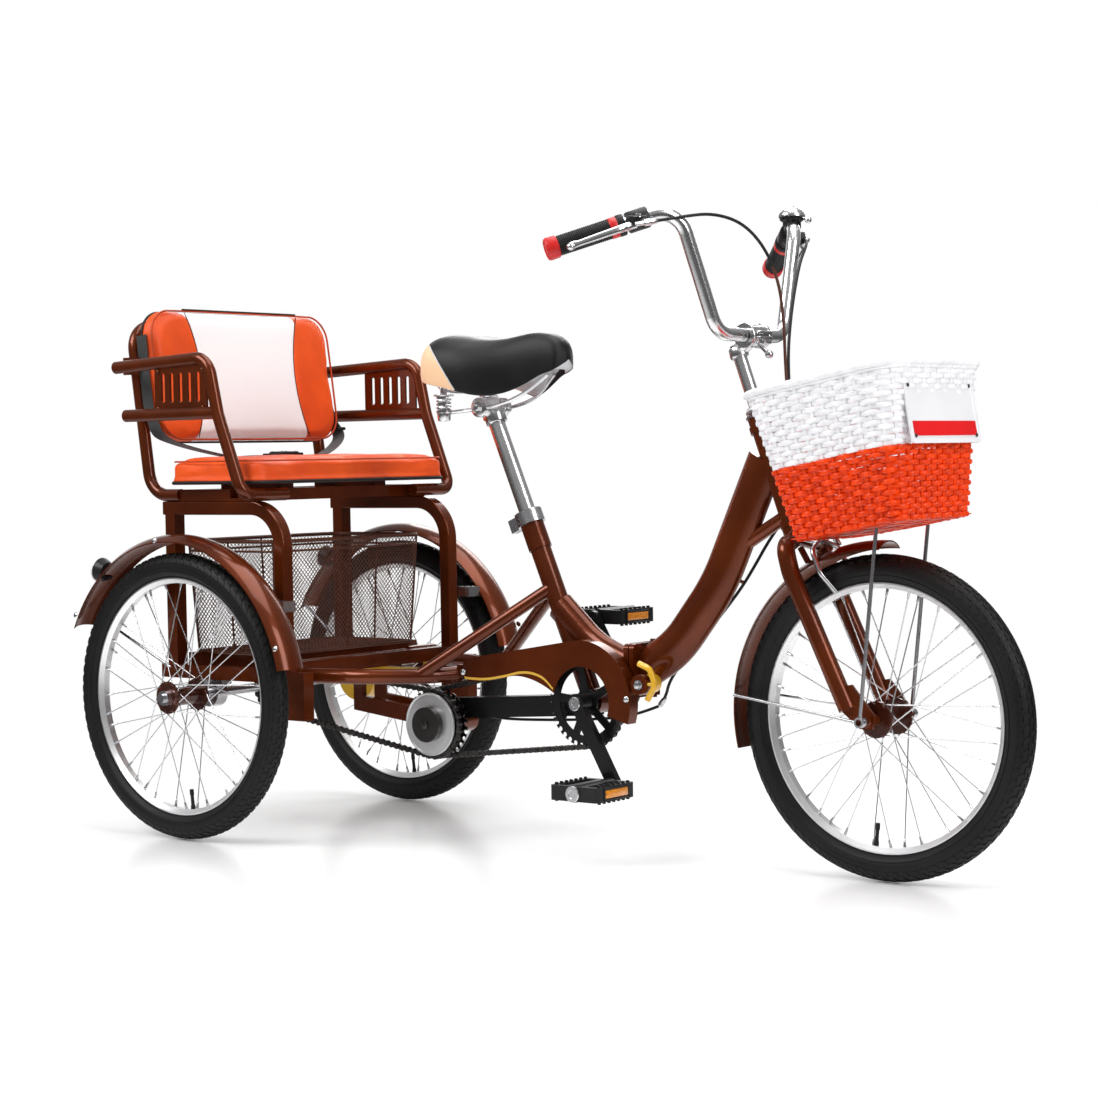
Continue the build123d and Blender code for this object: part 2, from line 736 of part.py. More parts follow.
def make_chain(near, far, y, near_teeth, far_teeth):
    """Fixed chain loop: two link bands that pass beside the sprockets, with rollers in its straight runs."""
    r0 = pitch_r(near_teeth)
    r1 = pitch_r(far_teeth)
    half = link_tall / 2
    plane = side_plane(near[0], y, near[1])
    dx = far[0] - near[0]
    dz = far[1] - near[1]
    with BuildPart() as chain:
        with BuildSketch(plane) as band:
            Circle(r0 + half)
            with Locations((dx, dz)):
                Circle(r1 + half)
            make_hull()
            with BuildSketch(mode=Mode.PRIVATE) as hollow:
                Circle(r0 - half)
                with Locations((dx, dz)):
                    Circle(r1 - half)
                make_hull()
            add(hollow.sketch, mode=Mode.SUBTRACT)
        extrude(amount=plate_gap / 2 + link_wall, both=True)
        with BuildSketch(plane.offset(-plate_gap / 2)) as gap:
            with Locations((dx / 2, dz / 2)):
                Rectangle(3 * hypot(dx, dz), 3 * hypot(dx, dz))
        extrude(amount=plate_gap, mode=Mode.SUBTRACT)
        centres = hypot(dx, dz)
        line_angle = atan2(dz, dx)
        lift = asin((r0 - r1) / centres)
        run = centres * cos(lift)
        clear_run = 38
        count = int((run - 2 * clear_run) / chain_pitch)
        first = (run - count * chain_pitch) / 2
        for side in (-1, 1):
            normal = line_angle + side * (pi / 2 - lift)
            along = line_angle - side * lift
            for i in range(count + 1):
                reach = first + i * chain_pitch
                x = r0 * cos(normal) + reach * cos(along)
                z = r0 * sin(normal) + reach * sin(along)
                with Locations(Location((near[0] + x, y, near[1] + z), (0, -degrees(along), 0))):
                    Box(5.5, plate_gap + 2 * link_wall, 5.5)
    return chain


front_chain = make_chain((bracket_x, bracket_z), (jack_x, jack_z), front_chain_y, chainwheel_teeth, jack_teeth)
rear_chain = make_chain((rx, axle_z), (jack_x, jack_z), rear_chain_y, rear_teeth, jack_teeth)

case_x = rx + 700
case_z = 254
case_r = 100
case_hole_r = 57
case_end_x = rx + 466
case_end_z = 297
case_end_r = 20
case_y = -58
case_wall = 2
case_deep = 20
case_span = hypot(case_x - case_end_x, case_z - case_end_z)
case_tilt = atan2(case_z - case_end_z, case_x - case_end_x) + asin((case_r - case_end_r) / case_span)


def case_top(x, z, r):
    """Point where the case's straight top meets a circle."""
    return x - r * sin(case_tilt), z + r * cos(case_tilt)


def case_polar(r, angle):
    """Point on a circle about the case's round end."""
    return case_x + r * cos(radians(angle)), case_z + r * sin(radians(angle))


with BuildPart() as chaincase:
    with BuildSketch(side_plane(0, case_y, 0)):
        with BuildLine():
            low = (case_end_x, case_end_z - case_end_r)
            wave = (rx + 572, 290)
            tip = case_polar(case_hole_r, 169)
            end_in = case_polar(case_hole_r, -22)
            end_out = case_polar(case_r, -19)
            ThreePointArc(case_top(case_end_x, case_end_z, case_end_r), (case_end_x - case_end_r, case_end_z), low)
            Spline(low, wave, tip, tangents=[(1, 0.05), (0.85, -0.55)])
            ThreePointArc(tip, case_polar(case_hole_r, 80), end_in)
            Line(end_in, end_out)
            ThreePointArc(end_out, case_polar(case_r, 40), case_top(case_x, case_z, case_r))
            Line(case_top(case_x, case_z, case_r), case_top(case_end_x, case_end_z, case_end_r))
        make_face()
    extrude(amount=case_wall)
    with BuildSketch(side_plane(0, case_y + case_deep, 0)):
        with BuildLine():
            inner_r = case_r - case_wall
            inner_end = case_end_r - case_wall
            Line(case_top(case_end_x, case_end_z, case_end_r), case_top(case_x, case_z, case_r))
            ThreePointArc(case_top(case_x, case_z, case_r), case_polar(case_r, 40), end_out)
            Line(end_out, case_polar(inner_r, -19))
            ThreePointArc(case_polar(inner_r, -19), case_polar(inner_r, 40), case_top(case_x, case_z, inner_r))
            Line(case_top(case_x, case_z, inner_r), case_top(case_end_x, case_end_z, inner_end))
            Line(case_top(case_end_x, case_end_z, inner_end), case_top(case_end_x, case_end_z, case_end_r))
        make_face()
    extrude(amount=case_deep)

# ---------------------------------------------------------------- saddle
with BuildPart() as seat_post:
    rod((seat_x(post_foot_z), 0, post_foot_z), (seat_x(post_top_z), 0, post_top_z), seat_post_r)

saddle_foot_z = 786
saddle_top_z = 866
saddle_x = rx + 500
with BuildPart() as saddle:
    for height, share in ((saddle_foot_z, 1.0), (saddle_top_z - 26, 0.97), (saddle_top_z, 0.72)):
        with BuildSketch(Plane(origin=(saddle_x, 0, height))):
            with BuildLine():
                Spline(
                    (140 * share, 0), (118 * share, 24 * share), (30 * share, 38 * share),
                    (-50 * share, 82 * share), (-105 * share, 84 * share), (-134 * share, 0),
                    tangents=[(0, 1), (0, -1)],
                )
                Line((-134 * share, 0), (140 * share, 0))
            make_face()
            mirror(about=Plane.XZ)
    loft(ruled=True)

rail_r = 3.5
clamp_x = seat_x(post_top_z - 14)
saddle_rail_z = post_top_z + 8
spring_x = rx + 392
spring_y = 60
with BuildPart() as saddle_frame:
    with BuildSketch(seat_plane(post_top_z - 34)):
        Circle(seat_post_r + 7)
        Circle(seat_post_r, mode=Mode.SUBTRACT)
    extrude(amount=40)
    cross_bar(clamp_x + 4, -36, 36, post_top_z + 7, 9)
    for side in (-1, 1):
        bent_rod(
            [
                (rx + 600, side * 12, saddle_foot_z + 2), (rx + 545, side * 24, saddle_rail_z),
                (rx + 405, side * 32, saddle_rail_z), (spring_x, side * spring_y, post_top_z - 2),
            ],
            [30, 40],
            rail_r,
        )
        rod((spring_x, side * spring_y, post_top_z - 12), (spring_x, side * spring_y, saddle_foot_z), 13)
    add(seat_post.part, mode=Mode.SUBTRACT)
    add(saddle.part, mode=Mode.SUBTRACT)

# ---------------------------------------------------------------- front frame
steer_r = 13
head_r = 18
head_low_z = 540
head_high_z = 698
quill_r = 11
front_face_x = fold_x + fold_gap / 2

with BuildPart() as front_frame:
    rod((head_x(head_low_z), 0, head_low_z), (head_x(head_high_z), 0, head_high_z), head_r)
    for low, high in ((head_low_z, head_low_z + 10), (head_high_z - 10, head_high_z)):
        rod((head_x(low), 0, low), (head_x(high), 0, high), head_r + 3)
    oval_tube(
        [(front_face_x + 4, 0, fold_z - 3), (rx + 852, 0, 342), (fx - 305, 0, 444), (fx - 210, 0, 646)],
        [190, 360],
        main_tall,
        main_wide,
    )
    rod((fx - 265, 0, 504), (head_x(560), 0, 560), 11)
    for x, z in ((970, 450), (880, 354)):
        rod((rx + x - 14, 6, z + 8), (rx + x - 1, 19.5, z), 3)
    with BuildSketch(Plane.YZ.offset(front_face_x)) as plate:
        with Locations((-(plate_half - plate_edge) / 2, fold_z)):
            RectangleRounded(plate_half + plate_edge, plate_tall, 10)
    extrude(amount=plate_wall)
    low = low_plate_z + knuckle_step + soft_clear
    high = low_plate_z + 3 * knuckle_step - soft_clear
    block(front_face_x, front_face_x + plate_wall, plate_edge - 4, fold_y - 1, low, high)
    rod((fold_x, fold_y, low), (fold_x, fold_y, high), knuckle_r)
    block(fold_x - 30, front_face_x, -60, plate_edge - 0.01, fold_z - 60, fold_z + 60, Mode.SUBTRACT)
    rod((fold_x, fold_y, fold_z - 60), (fold_x, fold_y, fold_z + 60), pin_r + run_clear, Mode.SUBTRACT)
    with BuildSketch(steer_plane(head_low_z - 20)):
        Circle(steer_r + run_clear)
    extrude(amount=260, mode=Mode.SUBTRACT)

boss_x = rx + 816
boss_z = 286
boss_y = -plate_half - 12
with BuildPart() as fold_latch:
    cross_bar(boss_x, boss_y - 11, -main_wide / 2 + 4, boss_z, 15)
    add(front_frame.part, mode=Mode.SUBTRACT)
    rod((boss_x, boss_y - 8, boss_z), (boss_x + 28, boss_y - 8, boss_z + 2), 3)
    bent_rod(
        [
            (boss_x - 2, boss_y - 8, boss_z + 34), (boss_x + 20, boss_y - 8, boss_z + 26),
            (boss_x + 30, boss_y - 8, boss_z), (boss_x + 14, boss_y - 8, boss_z - 24),
        ],
        [16, 18],
        5,
    )

# ---------------------------------------------------------------- steering
blade_y = 55
blade_r = 14
stem_top_z = 824
quill_foot_z = 650
crown_z = 523
bar_x = fx - 233
bar_z = 838
bar_r = 11

with BuildPart() as fork:
    rod((head_x(524), 0, 524), (head_x(712), 0, 712), steer_r)
    rod((head_x(519), 0, 519), (head_x(head_low_z - 0.4), 0, head_low_z - 0.4), head_r + 2)
    rod((head_x(head_high_z + 0.4), 0, head_high_z + 0.4), (head_x(711), 0, 711), head_r + 1)
    for side in (-1, 1):
        y = side * blade_y
        bent_rod(
            [
                (head_x(crown_z), side * 6, crown_z), (fx - 143, y, crown_z - 12), (fx - 133, y, crown_z - 52),
                (fx - 34, y, 266),
            ],
            [20, 100],
            blade_r,
        )
        with BuildSketch(side_plane(0, y + 2.5, 0)):
            with BuildLine():
                Polyline(
                    (fx - 48, 300), (fx - 26, 304), (fx + 14, axle_z + 8), (fx + 10, axle_z - 12),
                    (fx - 12, axle_z - 12), (fx - 50, 268), close=True,
                )
            make_face()
        extrude(amount=5)
        cross_bar(fx, side * (front_flange_half + flange_wall + soft_clear), side * (blade_y - 2), axle_z, 9)
        cross_bar(fx, side * (blade_y + 2), side * (blade_y + 12), axle_z, 10)
    cross_bar(fx, -front_axle_half, front_axle_half, axle_z, front_axle_r)
    with BuildSketch(steer_plane(quill_foot_z - 10)):
        Circle(quill_r)
    extrude(amount=120, mode=Mode.SUBTRACT)

with BuildPart() as handlebar_stem:
    rod((head_x(quill_foot_z), 0, quill_foot_z), (head_x(stem_top_z), 0, stem_top_z), quill_r)
    rod((head_x(stem_top_z - 8), 0, stem_top_z - 8), (bar_x, 0, bar_z - 2), 12)
    cross_bar(bar_x, -24, 24, bar_z, 18)
    cross_bar(bar_x, -24, 24, bar_z, bar_r, Mode.SUBTRACT)

bar_corner = (fx - 256, 164, 1030)
bar_end = (rx + 846, 304, 968)
with BuildPart() as handlebar:
    bent_rod(
        [
            (bar_end[0], -bar_end[1], bar_end[2]), (bar_corner[0], -bar_corner[1], bar_corner[2]),
            (fx - 237, -92, bar_z + 2), (bar_x, 0, bar_z),
        ],
        [42, 40],
        bar_r,
    )
    mirror(about=Plane.XZ)


def along_bar(side, share):
    """Point on the bar's grip leg, from the bend at 0 to the end at 1."""
    x = bar_corner[0] + share * (bar_end[0] - bar_corner[0])
    y = bar_corner[1] + share * (bar_end[1] - bar_corner[1])
    z = bar_corner[2] + share * (bar_end[2] - bar_corner[2])
    return x, side * y, z


with BuildPart() as grips:
    for side in (-1, 1):
        rod(along_bar(side, 0.42), along_bar(side, 1.02), 16)
        rod(along_bar(side, 0.30), along_bar(side, 1.0), bar_r, Mode.SUBTRACT)

with BuildPart() as brake_levers:
    for side in (-1, 1):
        clamp = Vector(*along_bar(side, 0.33))
        pivot = clamp + Vector(20, side * 12, -4)
        tip = Vector(*along_bar(side, 0.85)) + Vector(26, side * 22, -6)
        rod(along_bar(side, 0.27), along_bar(side, 0.39), 15)
        rod(tuple(clamp + Vector(8, side * 8, -2)), tuple(pivot), 6)
        rod(tuple(pivot + (pivot - tip) * 0.05), tuple(tip), 4)
        rod(along_bar(side, 0.22), along_bar(side, 0.45), bar_r, Mode.SUBTRACT)

with BuildPart() as bell:
    spot = Vector(*along_bar(1, 0.16))
    rod(tuple(spot), tuple(spot + Vector(0, 0, bar_r + 5)), 9)
    rod(tuple(spot + Vector(0, 0, bar_r)), tuple(spot + Vector(0, 0, bar_r + 20)), 20)
    add(handlebar.part, mode=Mode.SUBTRACT)

wicker_low_z = 537
wicker_top_z = 768
wicker_low_x = fx - 3
wicker_top_x = fx - 36
wicker_wall = 5
wicker_tilt = radians(10)
tilt_x = (cos(wicker_tilt), 0, sin(wicker_tilt))
tilt_z = (-sin(wicker_tilt), 0, cos(wicker_tilt))
with BuildPart() as front_basket:
    low_plane = Plane(origin=(wicker_low_x, 0, wicker_low_z), x_dir=tilt_x, z_dir=tilt_z)
    top_plane = Plane(origin=(wicker_top_x, 0, wicker_top_z), x_dir=tilt_x, z_dir=tilt_z)
    with BuildSketch(low_plane):
        RectangleRounded(200, 226, 36)
    with BuildSketch(top_plane):
        RectangleRounded(272, 300, 46)
    loft()
    offset(amount=-wicker_wall, openings=front_basket.faces().sort_by(Axis.Z)[-1:])

# two arms from a washer on the steerer's top nut carry the basket's back wall
hanger_z = 711
hanger_y = 40
hanger_in = 6
hanger_out = 61
with BuildPart() as basket_hanger:
    with BuildSketch(steer_plane(hanger_z)) as washer:
        Circle(head_r + 3)
        with Locations(((hanger_in + hanger_out) / 2, 0)):
            Rectangle(hanger_out - hanger_in, 2 * hanger_y)
        with Locations((hanger_out, 0)):
            Rectangle(2 * (hanger_out - 22), 2 * hanger_y - 24, mode=Mode.SUBTRACT)
        Circle(steer_r, mode=Mode.SUBTRACT)
    extrude(washer.sketch, amount=3)
    add(front_basket.part, mode=Mode.SUBTRACT)

with BuildPart() as front_fender:
    fender(fx, 0, 270, 88, 193)
    rod((fx - 150, 0, crown_z - 16), (fx - 132, 0, 478), 5)

with BuildPart() as front_brake:
    rod((head_x(crown_z) + 12, 0, crown_z), (head_x(crown_z) + 44, 0, crown_z - 4), 7)
    for side in (-1, 1):
        bent_rod(
            [
                (head_x(crown_z) + 40, 0, crown_z - 3), (fx - 104, side * 40, 506), (fx - 88, side * 42, 470),
                (fx - 72, side * 22, 440),
            ],
            [16, 20],
            4,
        )
    add(fork.part, mode=Mode.SUBTRACT)

stay_y = 78
with BuildPart() as front_stays:
    for side in (-1, 1):
        rod((fx, side * (blade_y + 12), axle_z), (fx, side * (stay_y + 3), axle_z), 8)
        cross_bar(fx, side * (blade_y + 11), side * (stay_y + 4), axle_z, front_axle_r, Mode.SUBTRACT)
        rod((fx, side * (stay_y - 2), axle_z + 6.5), (fx + 32, side * (stay_y - 2), 541), 3)
        rod((fx - 6.5, side * 71, axle_z - 1), (fx - 256, side * 33.5, 276), 2.5)
    add(front_basket.part, mode=Mode.SUBTRACT)


# ---------------------------------------------------------------- brake cables
cable_r = 2.5


def cable_bends(name, points):
    """Bend radius at each corner of a cable, as large as the shorter of its two runs allows."""
    radii = []
    for before, corner, after in zip(points, points[1:], points[2:]):
        run_in = Vector(*corner) - Vector(*before)
        run_out = Vector(*after) - Vector(*corner)
        turn = radians(run_in.get_angle(run_out))
        radii.append(0.45 * min(run_in.length, run_out.length) / tan(turn / 2))
    print(name, "bend radii", [round(radius) for radius in radii])
    return radii


right_route = [
    (fx - 272, -221, 1004), (fx - 240, -172, 1014), (fx - 223, -117, 1021), (fx - 205, -62, 1008),
    (fx - 190, -22, 968), (fx - 182, 1, 914), (fx - 179, 7, 855), (fx - 179, 9, 795), (fx - 177, 12, 735),
    (fx - 170, 15, 678), (fx - 156, 17, 624), (fx - 136, 20, 574), (fx - 118, 28, 540), (fx - 104, 39, 510),
]
left_route = [
    (fx - 272, 221, 1004), (fx - 245, 180, 992), (fx - 225, 128, 962), (fx - 211, 90, 918), (fx - 199, 57, 866),
    (fx - 188, 31, 810), (fx - 180, 21, 750), (fx - 175, 23, 692), (fx - 172, 28, 640), (fx - 173, 33, 598),
    (fx - 177, 34, 574),
]
with BuildPart() as control_cables:
    for name, route in (("right cable", right_route), ("left cable", left_route)):
        bent_rod(route, cable_bends(name, route), cable_r)
    add(front_brake.part, mode=Mode.SUBTRACT)
    add(brake_levers.part, mode=Mode.SUBTRACT)

frame_route = [
    (fx - 185, 34, 560), (fx - 204, 31, 546), (fx - 229, 27, 512), (fx - 250, 24, 478), (fx - 274, 23, 444),
    (fx - 304, 23, 410), (fx - 338, 24, 375), (rx + 866, 27, 341), (rx + 832, 32, 309), (rx + 807, 38, 281),
    (rx + 798, 42, 258), (rx + 786, 42, 243),
]
with BuildPart() as frame_cable:
    bent_rod(frame_route, cable_bends("frame cable", frame_route), cable_r)

rear_route = [
    (rx + 782, 42, 241), (rx + 754, 37, 230), (rx + 718, 22, 221), (rx + 672, 8, 217), (rx + 612, 5, 213),
    (rx + 552, 6, 210), (rx + 496, 16, 207), (rx + 444, 35, 205), (rx + 392, 55, 206), (rx + 336, 76, 212),
    (rx + 280, 99, 222), (rx + 224, 124, 234), (rx + 168, 148, 244), (rx + 112, 164, 250), (rx + 45, 170, 254),
]
with BuildPart() as rear_cable:
    bent_rod(rear_route, cable_bends("rear cable", rear_route), cable_r)
    add(brake_cover.part, mode=Mode.SUBTRACT)


# ---------------------------------------------------------------- files
pieces = {
    "front_tyre": front_tyre, "front_rim": front_rim, "front_hub": front_hub,
    "right_tyre": right_tyre, "right_rim": right_rim, "right_hub": right_hub,
    "left_tyre": left_tyre, "left_rim": left_rim, "left_hub": left_hub,
    "drive_axle": drive_axle, "axle_bearings": axle_bearings, "brake_cover": brake_cover,
    "rear_freewheel": rear_freewheel, "carriage_frame": carriage_frame, "rack_arches": rack_arches,
    "mesh_basket": mesh_basket, "cross_rod": cross_rod, "bench_frame": bench_frame,
    "bench_cushion": bench_cushion, "armrests": armrests, "back_frame": back_frame,
    "backrest_pad": backrest_pad, "rear_fenders": rear_fenders, "fender_stays": fender_stays,
    "tail_lamps": tail_lamps, "drive_bracket": drive_bracket, "bow_tube": bow_tube,
    "rear_frame": rear_frame, "seat_stays": seat_stays, "seat_collar": seat_collar,
    "drive_beam": drive_beam, "crankset": crankset, "right_pedal": right_pedal,
    "left_pedal": left_pedal, "jackshaft": jackshaft, "guard_disc": guard_disc,
    "front_chain": front_chain, "rear_chain": rear_chain, "chaincase": chaincase,
    "seat_post": seat_post, "saddle_frame": saddle_frame, "saddle": saddle,
    "front_frame": front_frame, "fold_latch": fold_latch, "fork": fork,
    "handlebar_stem": handlebar_stem, "handlebar": handlebar, "grips": grips,
    "brake_levers": brake_levers, "bell": bell, "front_basket": front_basket,
    "basket_hanger": basket_hanger, "front_stays": front_stays, "front_fender": front_fender,
    "front_brake": front_brake, "control_cables": control_cables, "frame_cable": frame_cable,
    "rear_cable": rear_cable, "lap_belt": lap_belt,
}
for name, piece in pieces.items():
    piece.part.label = name
    export_step(piece.part, f"parts/{name}.step")
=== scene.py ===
import json
import math

import bpy
from mathutils import Matrix, Vector


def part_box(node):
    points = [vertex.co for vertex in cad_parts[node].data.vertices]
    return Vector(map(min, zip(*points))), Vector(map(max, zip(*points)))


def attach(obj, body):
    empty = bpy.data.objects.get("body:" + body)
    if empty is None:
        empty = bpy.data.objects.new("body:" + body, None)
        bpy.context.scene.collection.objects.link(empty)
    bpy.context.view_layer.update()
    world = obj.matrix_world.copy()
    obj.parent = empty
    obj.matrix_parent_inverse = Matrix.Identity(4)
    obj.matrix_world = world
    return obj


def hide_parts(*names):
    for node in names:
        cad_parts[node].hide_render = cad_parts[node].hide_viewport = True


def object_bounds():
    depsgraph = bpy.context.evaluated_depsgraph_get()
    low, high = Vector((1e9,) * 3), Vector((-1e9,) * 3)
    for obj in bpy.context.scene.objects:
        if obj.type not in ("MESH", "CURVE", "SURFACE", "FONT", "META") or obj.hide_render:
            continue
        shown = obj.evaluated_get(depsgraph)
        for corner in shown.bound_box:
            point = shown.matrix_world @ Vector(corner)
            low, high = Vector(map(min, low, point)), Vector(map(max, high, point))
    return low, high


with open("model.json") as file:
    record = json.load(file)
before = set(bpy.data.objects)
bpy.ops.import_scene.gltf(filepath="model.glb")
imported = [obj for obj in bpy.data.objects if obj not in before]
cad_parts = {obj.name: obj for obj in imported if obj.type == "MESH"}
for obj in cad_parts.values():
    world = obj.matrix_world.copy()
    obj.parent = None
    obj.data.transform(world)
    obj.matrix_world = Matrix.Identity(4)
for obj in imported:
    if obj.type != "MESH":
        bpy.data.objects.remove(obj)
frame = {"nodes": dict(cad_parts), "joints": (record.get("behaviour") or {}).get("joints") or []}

bl_info = {
    "name": "Folding tricycle",
    "version": (1, 0, 0),
    "blender": (4, 5, 0),
    "location": "View3D > Sidebar > Tricycle",
    "description": "Dresses the packed frame of a folding tricycle with its tyres, baskets, cushions and finishes",
    "category": "Object",
}

CAD_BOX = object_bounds()
NODES = frame["nodes"]
JOINTS = {j["name"]: j for j in frame["joints"]}
REAR = Vector(JOINTS["right_wheel_spin"]["pos_m"])
FRONT = Vector(JOINTS["front_wheel_spin"]["pos_m"])
CRANK = Vector(JOINTS["crank_spin"]["pos_m"])
JACK = Vector(JOINTS["jack_spin"]["pos_m"])
TRACK_HALF = JOINTS["left_wheel_spin"]["pos_m"][1]
STEER = Vector(JOINTS["steering"]["axis"])
SEAT = Vector(JOINTS["saddle_height"]["axis"])
UP = Vector((0, 0, 1))
LEFT = Vector((0, 1, 0))
AHEAD = Vector((1, 0, 0))


def at(x, y, z):
    """Point given in millimetres ahead of the rear axle, to the left, and above the ground."""
    return Vector((REAR.x + x / 1000, y / 1000, z / 1000))


# ---------------------------------------------------------------- selecting, shaping and placing
def drop_selection():
    """Leaves edit mode and selects nothing."""
    if bpy.context.mode != "OBJECT":
        bpy.ops.object.mode_set(mode="OBJECT")
    bpy.ops.object.select_all(action="DESELECT")


def object_mode():
    """Leaves edit mode."""
    bpy.ops.object.mode_set(mode="OBJECT")


def pick(*pieces):
    """Selects just these pieces, the first one active."""
    drop_selection()
    for piece in pieces:
        piece.select_set(True)
    bpy.context.view_layer.objects.active = pieces[0]
    return pieces[0]


def newest(name):
    """The piece an operator has just added, with its place put into its mesh."""
    piece = bpy.context.object
    piece.name = name
    piece.data.name = name
    bpy.ops.object.transform_apply(location=True, rotation=True, scale=True)
    return piece


def added(name, adder, **settings):
    """A primitive added on its own, with its place put into its mesh."""
    drop_selection()
    adder(**settings)
    return newest(name)


def put(name, piece, place):
    """Carries a piece to a place and puts the place into its mesh."""
    piece.matrix_world = place
    pick(piece)
    return newest(name)


def apply_modifier(piece, kind, **settings):
    """Adds a modifier, sets it and applies it."""
    pick(piece)
    bpy.ops.object.modifier_add(type=kind)
    added = piece.modifiers[-1]
    for key, value in settings.items():
        setattr(added, key, value)
    bpy.ops.object.modifier_apply(modifier=added.name)
    return piece


def close_up(piece, gap=0.00001, turn=True):
    """Merges doubles and turns every face outwards."""
    pick(piece)
    bpy.ops.object.mode_set(mode="EDIT")
    bpy.ops.mesh.select_all(action="SELECT")
    bpy.ops.mesh.remove_doubles(threshold=gap)
    if turn:
        bpy.ops.mesh.normals_make_consistent(inside=False)
    object_mode()
    return piece


def smooth(piece, angle=40):
    """Smooth shading with edges kept sharp past an angle."""
    pick(piece)
    bpy.ops.object.shade_smooth_by_angle(angle=math.radians(angle))
    return piece


def choose(piece, test, kind="FACE"):
    """Enters edit mode with just the faces or vertices that pass the test selected."""
    pick(piece)
    mesh = piece.data
    bpy.ops.object.mode_set(mode="EDIT")
    bpy.ops.mesh.select_mode(type=kind)
    bpy.ops.mesh.select_all(action="DESELECT")
    object_mode()
    for item in mesh.polygons if kind == "FACE" else mesh.vertices:
        item.select = bool(test(item))
    bpy.ops.object.mode_set(mode="EDIT")


def choose_edges(piece, test):
    """Enters edit mode with just the edges selected whose two ends pass the test."""
    pick(piece)
    bpy.ops.object.mode_set(mode="EDIT")
    bpy.ops.mesh.select_mode(type="EDGE")
    bpy.ops.mesh.select_all(action="DESELECT")
    object_mode()
    spots = piece.data.vertices
    for edge in piece.data.edges:
        edge.select = bool(test(spots[edge.vertices[0]].co, spots[edge.vertices[1]].co))
    bpy.ops.object.mode_set(mode="EDIT")


def stand(point, up, ahead=None):
    """Matrix of a place whose Z runs along up and whose X leans towards ahead."""
    up = Vector(up).normalized()
    side = Vector(ahead) if ahead is not None else up.orthogonal()
    side = (side - up * side.dot(up)).normalized()
    place = Matrix((side, up.cross(side), up)).transposed().to_4x4()
    place.translation = point
    return place


def gather(name, pieces):
    """Joins pieces into one, with its place in its mesh."""
    pick(*pieces)
    if len(pieces) > 1:
        bpy.ops.object.join()
    return newest(name)


def copies(name, model, places):
    """Copies of one small model, each with its own mesh, joined into a piece. The model goes."""
    made = []
    for place in places:
        other = model.copy()
        other.data = model.data.copy()
        bpy.context.collection.objects.link(other)
        other.matrix_world = place
        made.append(other)
    bpy.data.objects.remove(model)
    return gather(name, made)


def ring_places(centre, axis, count, start, first=0.0):
    """Matrices that carry a place round an axis in even steps."""
    for i in range(count):
        turn = Matrix.Rotation(first + 2 * math.pi * i / count, 4, axis)
        yield Matrix.Translation(centre) @ turn @ Matrix.Translation(-centre) @ start


